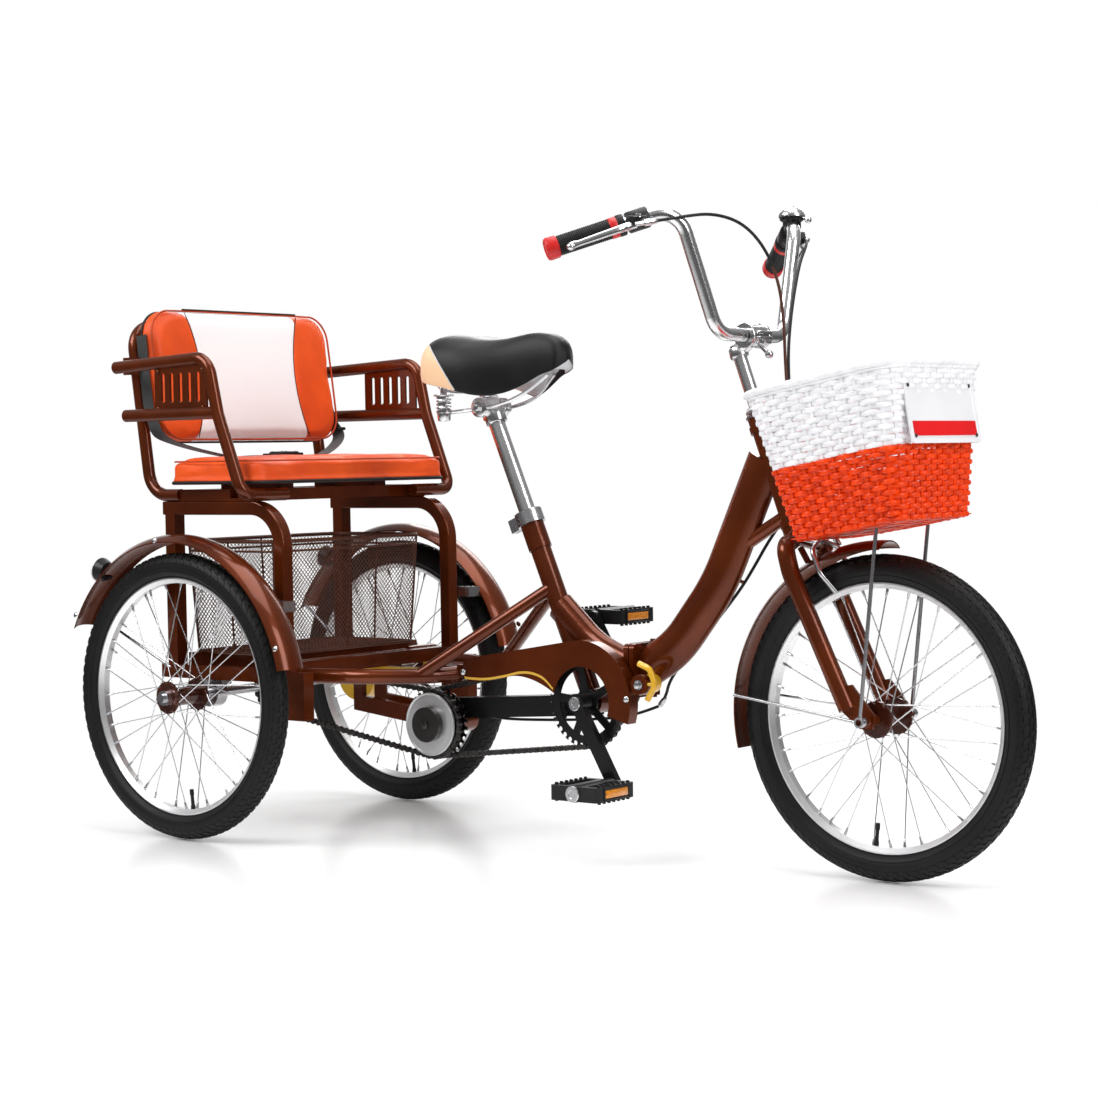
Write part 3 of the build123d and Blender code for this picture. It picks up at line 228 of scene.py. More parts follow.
# Outlines of the turned pieces: along the axis and out from it, in millimetres
OUTLINES = {
    "nipple": ((0, 0), (0, 2.6), (3, 2.2), (11, 1.7), (12, 1.1), (12, 0)),
    "valve stem": ((0, 0), (0, 4.2), (6, 4), (8, 3.1), (24, 3), (25, 3.8), (34, 3.6), (35, 2.8), (35, 0)),
    "spring cup": ((0, 0), (0, 9.5), (1.5, 10.8), (13, 11.8), (14.5, 13.5), (16, 13.5), (16, 0)),
    "spring plate": ((0, 0), (0, 16.5), (1.5, 17.5), (3.2, 16.5), (5, 6), (23, 6), (23, 0)),
    "rail clamp": (
        (-9.5, 0), (-9.5, 15), (-8, 16.8), (-1.2, 16.8), (0, 15), (1.2, 16.8), (6, 16.8), (7.5, 15), (7.5, 0)
    ),
    "post ring": ((-10, 14.6), (-10, 17.2), (-8, 18.6), (26, 18.6), (30, 16.5), (33, 14.6), (-10, 14.6)),
    "cap": ((-1, 0), (-1, 4), (1, 4.6), (10, 4.6), (12, 4), (16, 3.4), (17, 2.5), (17, 0)),
    "pedal end cap": ((0, 0), (0, 13.5), (3, 13.5), (4.2, 12.2), (4.2, 7), (3.4, 6), (3.4, 0)),
    "crank cap": ((0, 0), (0, 11.5), (3, 11.5), (4.2, 10.2), (4.2, 5), (3, 4.5), (3, 0)),
    "grip ring": ((11.4, 11.4), (11.4, 15.7), (12.5, 16.3), (22.5, 16.3), (23.6, 15.7), (23.6, 11.4)),
    "clamp": ((-20, 11.2), (-20, 15), (-18, 16.5), (12, 16.5), (14, 15), (14, 11.2)),
    "barrel": ((-20, 0), (-20, 3.6), (-6, 3.6), (-5, 5.6), (4, 5.6), (5, 4.4), (10, 4), (10, 0)),
    "bell base": ((0, 11.2), (4, 15), (10, 15), (13, 19.5), (17.5, 20.5), (17.5, 0)),
    "bell clamp": ((-7, 11.2), (-7, 13.6), (7, 13.6), (7, 11.2)),
    "bell dome": (
        (17.8, 0), (17.8, 20.5), (18.5, 22.2), (20.5, 22.4), (24.5, 21.2), (29, 18), (32.5, 13), (34.2, 7.2),
        (34.6, 4), (36.2, 3.6), (36.6, 2.2), (36.6, 0)
    ),
    "clamp collar": ((0, 17.8), (0, 19.2), (1.2, 20), (5.2, 20), (6.4, 19.2), (6.4, 17.8)),
    "stem collar": ((-16, 11.2), (-16, 14.2), (-14, 15.2), (-2, 15.2), (0, 14.2), (0, 11.2)),
    "steerer nut": ((0.5, 11.2), (0.5, 17.2), (2, 18.5), (8.5, 18.5), (10, 17.2), (14, 15), (14, 11.2)),
    "cup": ((0, 10), (1, 16.5), (12, 20.5), (19.5, 21.5), (19.5, 0)),
    "rim": ((18.8, 20), (18.8, 21.7), (20, 22.2), (22.2, 22.2), (23.2, 21.2), (23.2, 19.2), (18.8, 19.2)),
    "guard ring": ((0, 50.8), (0, 54), (1.2, 53.6), (1.4, 52.4), (0.8, 50.8), (0, 50.8)),
    "guard inner ring": ((5.5, 16.6), (5.5, 20.8), (7.8, 20.5), (8.2, 19), (7.8, 16.9), (5.5, 16.6)),
    "guard_disc_hub_cap": (
        (0, 0), (0, 27.2), (1.6, 27.6), (4.6, 27.2), (6, 25.8), (6, 16), (4.6, 15.2), (4.6, 11.2), (8.6, 10),
        (8.6, 0)
    ),
    "fold_latch_barrel": (
        (14.5, 15.1), (14.5, 16.4), (13.5, 17), (3.5, 17), (-0.4, 15), (-0.4, 8.2), (0.6, 7.4), (0.6, 0)
    ),
}


def spun(name, centre, axis, out, steps=64, outline=None):
    """Turned piece: its outline, from the table unless given, drawn point by point and spun round an axis."""
    axis, out = Vector(axis).normalized(), Vector(out).normalized()
    pairs = outline or OUTLINES[name]
    spots = [Vector(centre) + axis * (along / 1000) + out * (radius / 1000) for along, radius in pairs]
    piece = added(name, bpy.ops.mesh.primitive_plane_add, size=0.001, location=spots[0])
    bpy.ops.object.mode_set(mode="EDIT")
    bpy.ops.mesh.select_mode(type="VERT")
    bpy.ops.mesh.select_all(action="SELECT")
    bpy.ops.mesh.merge(type="CENTER")
    for before, after in zip(spots, spots[1:]):
        bpy.ops.mesh.extrude_vertices_move(TRANSFORM_OT_translate={"value": after - before})
    bpy.ops.mesh.select_all(action="SELECT")
    bpy.ops.mesh.remove_doubles(threshold=0.000001)
    bpy.ops.mesh.select_all(action="SELECT")
    bpy.ops.mesh.spin(steps=steps, angle=2 * math.pi, center=centre, axis=axis)
    object_mode()
    return close_up(piece, 0.000002)


def wire(name, points, radius, closed=False, order=3, sides=8, steps=6, caps=True):
    """Round wire along a smooth line, or along straight runs with order 2, made a mesh."""
    drop_selection()
    bpy.ops.curve.primitive_nurbs_path_add()
    piece = bpy.context.object
    bend = piece.data
    bend.splines.clear()
    line = bend.splines.new("NURBS" if order > 2 else "POLY")
    line.points.add(len(points) - 1)
    for spot, point in zip(line.points, points):
        spot.co = (*point, 1)
    line.use_cyclic_u = closed
    if order > 2:
        line.order_u = order
        line.use_endpoint_u = not closed
    line.resolution_u = steps
    bend.resolution_u = steps
    bend.dimensions = "3D"
    bend.bevel_depth = radius
    bend.bevel_resolution = max(0, (sides - 4) // 2)
    bend.use_fill_caps = caps and not closed
    bpy.ops.object.convert(target="MESH")
    piece = newest(name)
    return close_up(piece, 0.000005)


def bar(name, start, end, radius, sides=12, round_off=0.0):
    """Straight round bar between two points, its ends eased."""
    run = Vector(end) - Vector(start)
    piece = added(name, bpy.ops.mesh.primitive_cylinder_add, vertices=sides, radius=radius, depth=run.length)
    if round_off:
        apply_modifier(piece, "BEVEL", width=round_off, segments=2, limit_method="ANGLE", angle_limit=0.6)
    return put(name, piece, stand((Vector(start) + Vector(end)) / 2, run))


def slab(name, sizes, place, edge=0.001, segments=2):
    """Flat-sided block with eased edges, its sizes along the place's axes."""
    piece = added(name, bpy.ops.mesh.primitive_cube_add, size=1, scale=sizes)
    apply_modifier(piece, "BEVEL", width=edge, segments=segments, limit_method="ANGLE", angle_limit=0.6)
    return put(name, piece, place)


def bolt_model(radius, height, sides=6, washer=0.0):
    """Bolt head or nut standing on Z, its top eased, over a washer if one is asked for."""
    lift = 0.0012 if washer else 0.0
    head = added(
        "bolt head", bpy.ops.mesh.primitive_cylinder_add, vertices=sides, radius=radius, depth=height,
        location=(0, 0, lift + height / 2)
    )
    choose(head, lambda face: face.normal.z > 0.9)
    bpy.ops.mesh.inset(thickness=radius * 0.22, depth=height * 0.14)
    object_mode()
    if not washer:
        return head
    ring = added(
        "washer", bpy.ops.mesh.primitive_cylinder_add, vertices=20, radius=washer, depth=lift,
        location=(0, 0, lift / 2)
    )
    return gather("bolt", [head, ring])


def dome_model(radius, height, sides=14):
    """Round rivet or bolt head standing on Z."""
    head = added("rivet head", bpy.ops.mesh.primitive_uv_sphere_add, segments=sides, ring_count=8, radius=radius)
    choose(head, lambda spot: spot.co.z < -0.0001, "VERT")
    bpy.ops.mesh.delete(type="VERT")
    bpy.ops.mesh.select_all(action="SELECT")
    bpy.ops.transform.resize(value=(1, 1, height / radius))
    bpy.ops.mesh.select_mode(type="EDGE")
    bpy.ops.mesh.select_all(action="DESELECT")
    bpy.ops.mesh.select_non_manifold()
    bpy.ops.mesh.edge_face_add()
    object_mode()
    return close_up(head)


def finish_piece(piece, body, key, slot, *nodes, angle=40):
    """Smooths a piece and gives it its body, its finish, its slot in the record and the nodes it stands for."""
    if angle:
        smooth(piece, angle)
    piece.data.materials.clear()
    piece.data.materials.append(FINISHES[key])
    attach(piece, body)
    if nodes:
        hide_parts(*nodes)
    return piece


# ---------------------------------------------------------------- node groups shared by the finishes
def open_group(name, inputs, outputs):
    """New shader node group with its named sockets."""
    group = bpy.data.node_groups.new(name, "ShaderNodeTree")
    for socket, kind, default in inputs:
        made = group.interface.new_socket(name=socket, in_out="INPUT", socket_type=kind)
        made.default_value = default
    for socket, kind in outputs:
        group.interface.new_socket(name=socket, in_out="OUTPUT", socket_type=kind)
    return group, group.nodes.new("NodeGroupInput"), group.nodes.new("NodeGroupOutput")


def noise_node(tree, scale, detail=3.0, rough=0.5):
    node = tree.nodes.new("ShaderNodeTexNoise")
    node.inputs["Scale"].default_value = scale
    node.inputs["Detail"].default_value = detail
    node.inputs["Roughness"].default_value = rough
    return node


def math_node(tree, operation, first=None, second=None, third=None, clamp=False):
    """Math node whose inputs are numbers or sockets."""
    node = tree.nodes.new("ShaderNodeMath")
    node.operation = operation
    node.use_clamp = clamp
    for i, value in enumerate((first, second, third)):
        if value is None:
            continue
        if isinstance(value, (int, float)):
            node.inputs[i].default_value = value
        else:
            tree.links.new(value, node.inputs[i])
    return node.outputs[0]


def blend_node(tree, share, first, second, mode="MIX"):
    """Colour mix whose inputs are colours or sockets."""
    node = tree.nodes.new("ShaderNodeMix")
    node.data_type = "RGBA"
    node.blend_type = mode
    for socket, value in ((node.inputs[0], share), (node.inputs[6], first), (node.inputs[7], second)):
        if isinstance(value, (int, float)):
            socket.default_value = value
        elif isinstance(value, (tuple, list)):
            socket.default_value = (*value[:3], 1)
        else:
            tree.links.new(value, socket)
    return node.outputs[2]


def spread(tree, value, low, high, to_low, to_high):
    """Map Range node."""
    node = tree.nodes.new("ShaderNodeMapRange")
    tree.links.new(value, node.inputs["Value"])
    for key, number in (("From Min", low), ("From Max", high), ("To Min", to_low), ("To Max", to_high)):
        node.inputs[key].default_value = number
    return node.outputs["Result"]


def object_place(tree):
    """Object coordinates."""
    return tree.nodes.new("ShaderNodeTexCoord").outputs["Object"]


def object_axes(tree):
    """Object coordinates parted into X, Y and Z."""
    apart = tree.nodes.new("ShaderNodeSeparateXYZ")
    tree.links.new(object_place(tree), apart.inputs["Vector"])
    return apart.outputs["X"], apart.outputs["Y"], apart.outputs["Z"]


def noise_on(tree, scale, detail=3.0, rough=0.5):
    """Height of a noise on Object coordinates."""
    node = noise_node(tree, scale, detail, rough)
    tree.links.new(object_place(tree), node.inputs["Vector"])
    return node.outputs["Fac"]


def make_tone_group():
    """Slow drift between two colours, with a fine speckle."""
    group, given, out = open_group(
        "tone drift",
        [
            ("First", "NodeSocketColor", (0.5, 0.5, 0.5, 1)), ("Second", "NodeSocketColor", (0.4, 0.4, 0.4, 1)),
            ("Drift Scale", "NodeSocketFloat", 8.0), ("Speckle Scale", "NodeSocketFloat", 900.0),
            ("Speckle", "NodeSocketFloat", 0.1),
        ],
        [("Color", "NodeSocketColor"), ("Mask", "NodeSocketFloat")],
    )
    spot = group.nodes.new("ShaderNodeTexCoord")
    slow = noise_node(group, 8, 4)
    group.links.new(spot.outputs["Object"], slow.inputs["Vector"])
    group.links.new(given.outputs["Drift Scale"], slow.inputs["Scale"])
    fine = noise_node(group, 900, 1)
    group.links.new(spot.outputs["Object"], fine.inputs["Vector"])
    group.links.new(given.outputs["Speckle Scale"], fine.inputs["Scale"])
    mask = spread(group, slow.outputs["Fac"], 0.3, 0.7, 0, 1)
    base = blend_node(group, mask, given.outputs["First"], given.outputs["Second"])
    speck = math_node(
        group, "MULTIPLY", spread(group, fine.outputs["Fac"], 0.35, 0.65, 0, 1), given.outputs["Speckle"]
    )
    shown = blend_node(group, speck, base, given.outputs["Second"])
    group.links.new(shown, out.inputs["Color"])
    group.links.new(mask, out.inputs["Mask"])
    return group


def make_wear_group():
    """Fine rubbing and dust: a roughness that wanders, and a height of shallow scuffs."""
    group, given, out = open_group(
        "handling",
        [
            ("Base Roughness", "NodeSocketFloat", 0.3), ("Wander", "NodeSocketFloat", 0.1),
            ("Scale", "NodeSocketFloat", 30.0),
        ],
        [("Roughness", "NodeSocketFloat"), ("Height", "NodeSocketFloat")],
    )
    spot = group.nodes.new("ShaderNodeTexCoord")
    stretch = group.nodes.new("ShaderNodeMapping")
    stretch.inputs["Scale"].default_value = (1.0, 2.5, 0.6)
    group.links.new(spot.outputs["Object"], stretch.inputs["Vector"])
    rub = noise_node(group, 30, 6, 0.65)
    group.links.new(stretch.outputs["Vector"], rub.inputs["Vector"])
    group.links.new(given.outputs["Scale"], rub.inputs["Scale"])
    centred = math_node(group, "SUBTRACT", rub.outputs["Fac"], 0.5)
    wander = math_node(group, "MULTIPLY_ADD", centred, given.outputs["Wander"], given.outputs["Base Roughness"])
    group.links.new(wander, out.inputs["Roughness"])
    group.links.new(rub.outputs["Fac"], out.inputs["Height"])
    return group


def make_grain_group():
    """Leather grain: rounded pebbles parted by creases, with soft larger folds."""
    group, given, out = open_group(
        "leather grain",
        [("Grain Scale", "NodeSocketFloat", 700.0), ("Fold Scale", "NodeSocketFloat", 14.0)],
        [("Height", "NodeSocketFloat"), ("Crease Shade", "NodeSocketFloat")],
    )
    spot = group.nodes.new("ShaderNodeTexCoord")
    cells = group.nodes.new("ShaderNodeTexVoronoi")
    cells.feature = "DISTANCE_TO_EDGE"
    group.links.new(spot.outputs["Object"], cells.inputs["Vector"])
    group.links.new(given.outputs["Grain Scale"], cells.inputs["Scale"])
    pebble = spread(group, cells.outputs["Distance"], 0.0, 0.25, 0, 1)
    folds = noise_node(group, 14, 3, 0.55)
    group.links.new(spot.outputs["Object"], folds.inputs["Vector"])
    group.links.new(given.outputs["Fold Scale"], folds.inputs["Scale"])
    height = math_node(group, "MULTIPLY_ADD", folds.outputs["Fac"], 6.0, pebble)
    group.links.new(height, out.inputs["Height"])
    group.links.new(pebble, out.inputs["Crease Shade"])
    return group


GROUPS = {}


def group_node(tree, name):
    """Places a shared node group in a material, building it the first time."""
    makers = {"tone drift": make_tone_group, "handling": make_wear_group, "leather grain": make_grain_group}
    if name not in GROUPS:
        GROUPS[name] = makers[name]()
    node = tree.nodes.new("ShaderNodeGroup")
    node.node_tree = GROUPS[name]
    return node


def open_material(name):
    """New material, with its tree and its Principled shader."""
    material = bpy.data.materials.new(name)
    material.use_nodes = True
    tree = material.node_tree
    return material, tree, tree.nodes["Principled BSDF"]


def set_inputs(node, **values):
    """Sets sockets by name, with underscores for spaces."""
    for key, value in values.items():
        node.inputs[key.replace("_", " ")].default_value = value


def add_bump(tree, shader, height, strength, distance):
    """Bump from a height in front of the shader's normal."""
    bump = tree.nodes.new("ShaderNodeBump")
    bump.inputs["Strength"].default_value = strength
    bump.inputs["Distance"].default_value = distance
    tree.links.new(height, bump.inputs["Height"])
    tree.links.new(bump.outputs["Normal"], shader.inputs["Normal"])
    return bump


def tone_of(tree, colour, dark, drift, grain, speckle):
    """Colour that drifts between two tones."""
    node = group_node(tree, "tone drift")
    set_inputs(
        node, First=(*colour, 1), Second=(*dark, 1), Drift_Scale=drift, Speckle_Scale=grain, Speckle=speckle
    )
    return node.outputs["Color"]


def link_wear(tree, shader, rough, wander, scale):
    """Links the handling marks to the roughness, and gives the height of their scuffs."""
    node = group_node(tree, "handling")
    set_inputs(node, Base_Roughness=rough, Wander=wander, Scale=scale)
    tree.links.new(node.outputs["Roughness"], shader.inputs["Roughness"])
    return node.outputs["Height"]


def paint_finish(name, colour, dark, metallic=0.5, rough=0.3, speckle=0.5, coat=1.0, wander=0.08, shine=0.4):
    """Gloss paint over metal: flake in the colour, clear coat on top, light handling marks."""
    material, tree, shader = open_material(name)
    tone = tone_of(tree, colour, dark, 9.0, 2600.0, speckle)
    tree.links.new(tone, shader.inputs["Base Color"])
    scuffs = link_wear(tree, shader, rough, wander, 26.0)
    set_inputs(shader, Metallic=metallic, Coat_Weight=coat, Coat_Roughness=0.04, Specular_IOR_Level=shine)
    add_bump(tree, shader, scuffs, 0.05, 0.0004)
    return material


def metal_finish(name, colour, rough, wander=0.1, scale=60.0, bump=0.06, metallic=1.0):
    """Bare, plated or brushed metal with wandering roughness."""
    material, tree, shader = open_material(name)
    tone = tone_of(tree, colour, tuple(c * 0.92 for c in colour), 22.0, 1500.0, 0.1)
    tree.links.new(tone, shader.inputs["Base Color"])
    scuffs = link_wear(tree, shader, rough, wander, scale)
    shader.inputs["Metallic"].default_value = metallic
    add_bump(tree, shader, scuffs, bump, 0.0003)
    return material


def moulded_finish(name, colour, dark, rough=0.5, grain=1400.0, bump=0.12, specular=0.5):
    """Moulded plastic or rubber with a fine texture."""
    material, tree, shader = open_material(name)
    tone = tone_of(tree, colour, dark, 16.0, grain, 0.3)
    tree.links.new(tone, shader.inputs["Base Color"])
    link_wear(tree, shader, rough, 0.14, 40.0)
    shader.inputs["Specular IOR Level"].default_value = specular
    add_bump(tree, shader, noise_on(tree, grain, 2), bump, 0.0003)
    return material


# ---------------------------------------------------------------- finishes of this tricycle
FINISHES = {}


HUB_SHELL_R = 0.0292
PANEL_WAIST, PANEL_FLARE, PANEL_MIDDLE_Z = 0.12, 1.75, 0.812


def panel_edge(rise):
    """Half width of the backrest's light panel at a height from its waist."""
    return PANEL_WAIST + PANEL_FLARE * rise * rise


def hub_finish():
    """Painted hub shell inside bare steel spokes, told apart by the distance from the axle line."""
    material, tree, shader = open_material("hub_and_spokes")
    x, _, z = object_axes(tree)
    high = math_node(tree, "SUBTRACT", z, REAR.z)
    rise = math_node(tree, "MULTIPLY", high, high)
    reach = None
    for centre_x in (REAR.x, FRONT.x):
        along = math_node(tree, "SUBTRACT", x, centre_x)
        square = math_node(tree, "ADD", math_node(tree, "MULTIPLY", along, along), rise)
        reach = square if reach is None else math_node(tree, "MINIMUM", reach, square)
    shell = math_node(tree, "LESS_THAN", reach, HUB_SHELL_R**2)
    tone = tone_of(tree, (0.1, 0.022, 0.01), (0.05, 0.012, 0.006), 30.0, 2600.0, 0.4)
    shown = blend_node(tree, shell, (0.74, 0.75, 0.77), tone)
    tree.links.new(shown, shader.inputs["Base Color"])
    tree.links.new(spread(tree, shell, 0, 1, 1.0, 0.45), shader.inputs["Metallic"])
    link_wear(tree, shader, 0.24, 0.1, 70.0)
    tree.links.new(math_node(tree, "MULTIPLY", shell, 0.8), shader.inputs["Coat Weight"])
    return material


def leather_finish(name, colour, dark, rough=0.38, grain=900.0, panel=None):
    """Grained leather cloth. A panel gives a second colour to a middle strip that is waisted between its ends."""
    material, tree, shader = open_material(name)
    tone = tone_of(tree, colour, dark, 10.0, 1800.0, 0.12)
    grain_node = group_node(tree, "leather grain")
    set_inputs(grain_node, Grain_Scale=grain, Fold_Scale=16.0)
    # Painted shade: the creases between the grain's pebbles are darkened towards the dark colour, as shade falls
    # there.
    crease_shaded = blend_node(tree, spread(tree, grain_node.outputs["Crease Shade"], 0, 1, 0.16, 0), tone, dark)
    shown = crease_shaded
    if panel:
        _, y, z = object_axes(tree)
        rise = math_node(tree, "SUBTRACT", z, PANEL_MIDDLE_Z)
        edge = math_node(tree, "MULTIPLY_ADD", math_node(tree, "MULTIPLY", rise, rise), PANEL_FLARE, PANEL_WAIST)
        out = math_node(tree, "SUBTRACT", math_node(tree, "ABSOLUTE", y), edge)
        inside = spread(tree, out, -0.0006, 0.0006, 1, 0)
        shown = blend_node(tree, inside, crease_shaded, panel)
        seam = spread(tree, math_node(tree, "ABSOLUTE", out), 0.0006, 0.0022, 0.55, 0)
        shown = blend_node(tree, seam, shown, dark)
    tree.links.new(shown, shader.inputs["Base Color"])
    link_wear(tree, shader, rough, 0.14, 22.0)
    shader.inputs["Specular IOR Level"].default_value = 0.28
    add_bump(tree, shader, grain_node.outputs["Height"], 0.22, 0.0006)
    return material


def tyre_finish():
    """Matt black rubber, a little browner and dustier in the tread than on the wall."""
    material, tree, shader = open_material("tyre_rubber_cover")
    tone = tone_of(tree, (0.0035, 0.0035, 0.004), (0.008, 0.0078, 0.0075), 12.0, 1200.0, 0.4)
    tree.links.new(tone, shader.inputs["Base Color"])
    link_wear(tree, shader, 0.52, 0.2, 46.0)
    shader.inputs["Specular IOR Level"].default_value = 0.25
    add_bump(tree, shader, noise_on(tree, 1600, 2), 0.15, 0.0004)
    return material


def webbing_finish(name, colour, dark, pitch=0.0016):
    """Woven webbing: raised cross threads that follow the strap's own UV map."""
    material, tree, shader = open_material(name)
    place = tree.nodes.new("ShaderNodeUVMap")
    place.uv_map = "UVMap"
    apart = tree.nodes.new("ShaderNodeSeparateXYZ")
    tree.links.new(place.outputs["UV"], apart.inputs["Vector"])
    along = math_node(tree, "SINE", math_node(tree, "MULTIPLY", apart.outputs["X"], 2 * math.pi / pitch))
    across = math_node(tree, "SINE", math_node(tree, "MULTIPLY", apart.outputs["Y"], 2 * math.pi / (pitch * 1.6)))
    thread = math_node(tree, "MULTIPLY", along, across)
    # Painted shade: the raised threads take the colour and the hollows between them the dark colour, following the
    # threads' height.
    mask = spread(tree, thread, -1, 1, 0, 1)
    tree.links.new(blend_node(tree, mask, dark, colour), shader.inputs["Base Color"])
    set_inputs(shader, Roughness=0.78, Sheen_Weight=0.3)
    add_bump(tree, shader, mask, 0.5, 0.0005)
    return material


def cane_finish(name, colour, dark, rough=0.28):
    """Glossy plastic cane with darker hollows between its turns."""
    material, tree, shader = open_material(name)
    tone = tone_of(tree, colour, dark, 60.0, 700.0, 0.25)
    tree.links.new(tone, shader.inputs["Base Color"])
    link_wear(tree, shader, rough, 0.16, 90.0)
    shader.inputs["Specular IOR Level"].default_value = 0.24
    add_bump(tree, shader, noise_on(tree, 420, 2), 0.2, 0.0006)
    return material


def lens_finish(name, colour):
    """Moulded lens over a bright back: a ribbed, glossy, slightly glowing colour."""
    material, tree, shader = open_material(name)
    spot = tree.nodes.new("ShaderNodeTexCoord")
    ribs = tree.nodes.new("ShaderNodeTexVoronoi")
    ribs.inputs["Scale"].default_value = 260
    tree.links.new(spot.outputs["Object"], ribs.inputs["Vector"])
    dark = tuple(c * 0.55 for c in colour)
    tree.links.new(blend_node(tree, ribs.outputs["Distance"], colour, dark), shader.inputs["Base Color"])
    set_inputs(shader, Roughness=0.12, Coat_Weight=1.0, Coat_Roughness=0.03)
    add_bump(tree, shader, ribs.outputs["Distance"], 0.4, 0.001)
    return material


def make_finishes(look):
    """Builds every finish from the colours in the panel."""
    f = FINISHES
    brown, deep = tuple(look.paint_colour), tuple(look.paint_shade)
    f["paint"] = paint_finish("brown_flake_paint", brown, deep, 0.5, 0.24, 0.4, 0.35, shine=0.2)
    f["mesh"] = paint_finish("brown_mesh_paint", (0.13, 0.042, 0.022), (0.08, 0.026, 0.014), 0.4, 0.4, 0.3, 0.0)
    f["black"] = paint_finish(
        "black_paint", (0.004, 0.004, 0.0045), (0.007, 0.007, 0.0075), 0.0, 0.3, 0.2, 0.12, shine=0.25
    )
    f["yellow"] = paint_finish("yellow_paint", (0.86, 0.5, 0.02), (0.62, 0.33, 0.015), 0.1, 0.3, 0.2, 0.6)
    f["stripe"] = paint_finish("stripe_paint", (0.8, 0.47, 0.06), (0.66, 0.38, 0.05), 0.2, 0.3, 0.2, 0.6)
    f["white_paint"] = paint_finish("white_plate_paint", (0.86, 0.86, 0.88), (0.78, 0.78, 0.8), 0.0, 0.22, 0.1, 0.8)
    f["red_paint"] = paint_finish(
        "red_band_paint", (0.75, 0.006, 0.008), (0.65, 0.005, 0.007), 0.0, 0.3, 0.1, 0.1, shine=0.3
    )
    f["chrome"] = metal_finish("chrome_plate", (0.8, 0.8, 0.81), 0.2, 0.05, 30.0, 0.03)
    f["steel"] = metal_finish("bright_steel", (0.6, 0.6, 0.62), 0.25, 0.12, 60.0)
    f["dark_steel"] = metal_finish("oiled_steel", (0.075, 0.07, 0.068), 0.36, 0.2, 80.0)
    f["alloy"] = metal_finish("satin_alloy", (0.86, 0.86, 0.87), 0.3, 0.12, 50.0, 0.06, 0.85)
    f["hub"] = hub_finish()
    f["tyre"] = tyre_finish()
    f["seat"] = leather_finish("orange_seat_leather", tuple(look.seat_colour), tuple(look.seat_shade))
    f["back"] = leather_finish(
        "two_colour_back_leather", tuple(look.seat_colour), tuple(look.seat_shade),
        panel=tuple(look.panel_colour),
    )
    f["saddle"] = leather_finish("black_saddle_skin", (0.012, 0.012, 0.0125), (0.005, 0.005, 0.006), 0.34, 1100.0)
    f["saddle_tail"] = leather_finish("sand_saddle_skin", (0.96, 0.64, 0.4), (0.8, 0.5, 0.3), 0.42, 1100.0)
    f["piping"] = leather_finish("dark_piping", (0.02, 0.012, 0.01), (0.01, 0.006, 0.005), 0.45, 1500.0)
    f["seat_piping"] = leather_finish("orange_piping", tuple(look.seat_shade), (0.3, 0.04, 0.01), 0.4, 1500.0)
    f["rubber"] = moulded_finish("black_rubber", (0.008, 0.008, 0.008), (0.015, 0.015, 0.015), 0.5, specular=0.28)
    f["plastic"] = moulded_finish(
        "black_plastic_skin", (0.008, 0.008, 0.009), (0.015, 0.015, 0.016), 0.38, specular=0.28
    )
    f["pale_plastic"] = moulded_finish("pale_saddle_base", (0.62, 0.62, 0.64), (0.5, 0.5, 0.52), 0.42)
    f["red_plastic"] = moulded_finish("red_plastic", (0.62, 0.012, 0.012), (0.5, 0.01, 0.01), 0.35)
    f["brown_sleeve"] = moulded_finish("brown_sleeve", (0.1, 0.028, 0.012), (0.07, 0.02, 0.01), 0.4)
    f["webbing"] = webbing_finish("black_webbing", (0.022, 0.022, 0.023), (0.006, 0.006, 0.007))
    f["white_cane"] = cane_finish("white_cane", tuple(look.cane_top), (0.76, 0.76, 0.79))
    f["red_cane"] = cane_finish("orange_cane", tuple(look.cane_foot), (0.62, 0.034, 0.002))
    f["reflector"] = lens_finish("amber_reflector", (0.95, 0.32, 0.02))
    f["red_lens"] = lens_finish("red_lens", (0.7, 0.015, 0.015))


NODE_FINISHES = {
    "paint": (
        "carriage_frame", "rack_arches", "cross_rod", "bench_frame", "armrests", "back_frame", "rear_fenders",
        "drive_bracket", "bow_tube", "rear_frame", "seat_stays", "front_frame", "fork", "front_fender", "chaincase",
    ),
    "alloy": ("front_rim", "right_rim", "left_rim", "guard_disc"),
    "hub": ("front_hub", "right_hub", "left_hub"),
    "steel": (
        "drive_axle", "axle_bearings", "rear_freewheel", "fender_stays", "basket_hanger",
        "front_stays", "front_brake", "seat_collar",
    ),
    "dark_steel": ("jackshaft", "front_chain", "rear_chain"),
    "black": ("drive_beam", "crankset"),
    "yellow": ("brake_cover", "fold_latch"),
    "chrome": ("seat_post", "saddle_frame", "handlebar_stem", "handlebar", "bell"),
    "plastic": ("grips", "brake_levers", "right_pedal", "left_pedal", "tail_lamps"),
    "mesh": ("mesh_basket",),
    "seat": ("bench_cushion",),
    "back": ("backrest_pad",),
    "saddle": ("saddle",),
    "white_cane": ("front_basket",),
    "rubber": ("control_cables",),
    "brown_sleeve": ("frame_cable", "rear_cable"),
    "webbing": ("lap_belt",),
    "tyre": ("front_tyre", "right_tyre", "left_tyre"),
}


def paint_nodes():
    """Gives every packed node its finish."""
    left = set(NODES)
    for key, names in NODE_FINISHES.items():
        for name in names:
            node = NODES[name]
            node.data.materials.clear()
            node.data.materials.append(FINISHES[key])
            left.discard(name)
    if left:
        raise RuntimeError(f"no finish is chosen for {sorted(left)}")


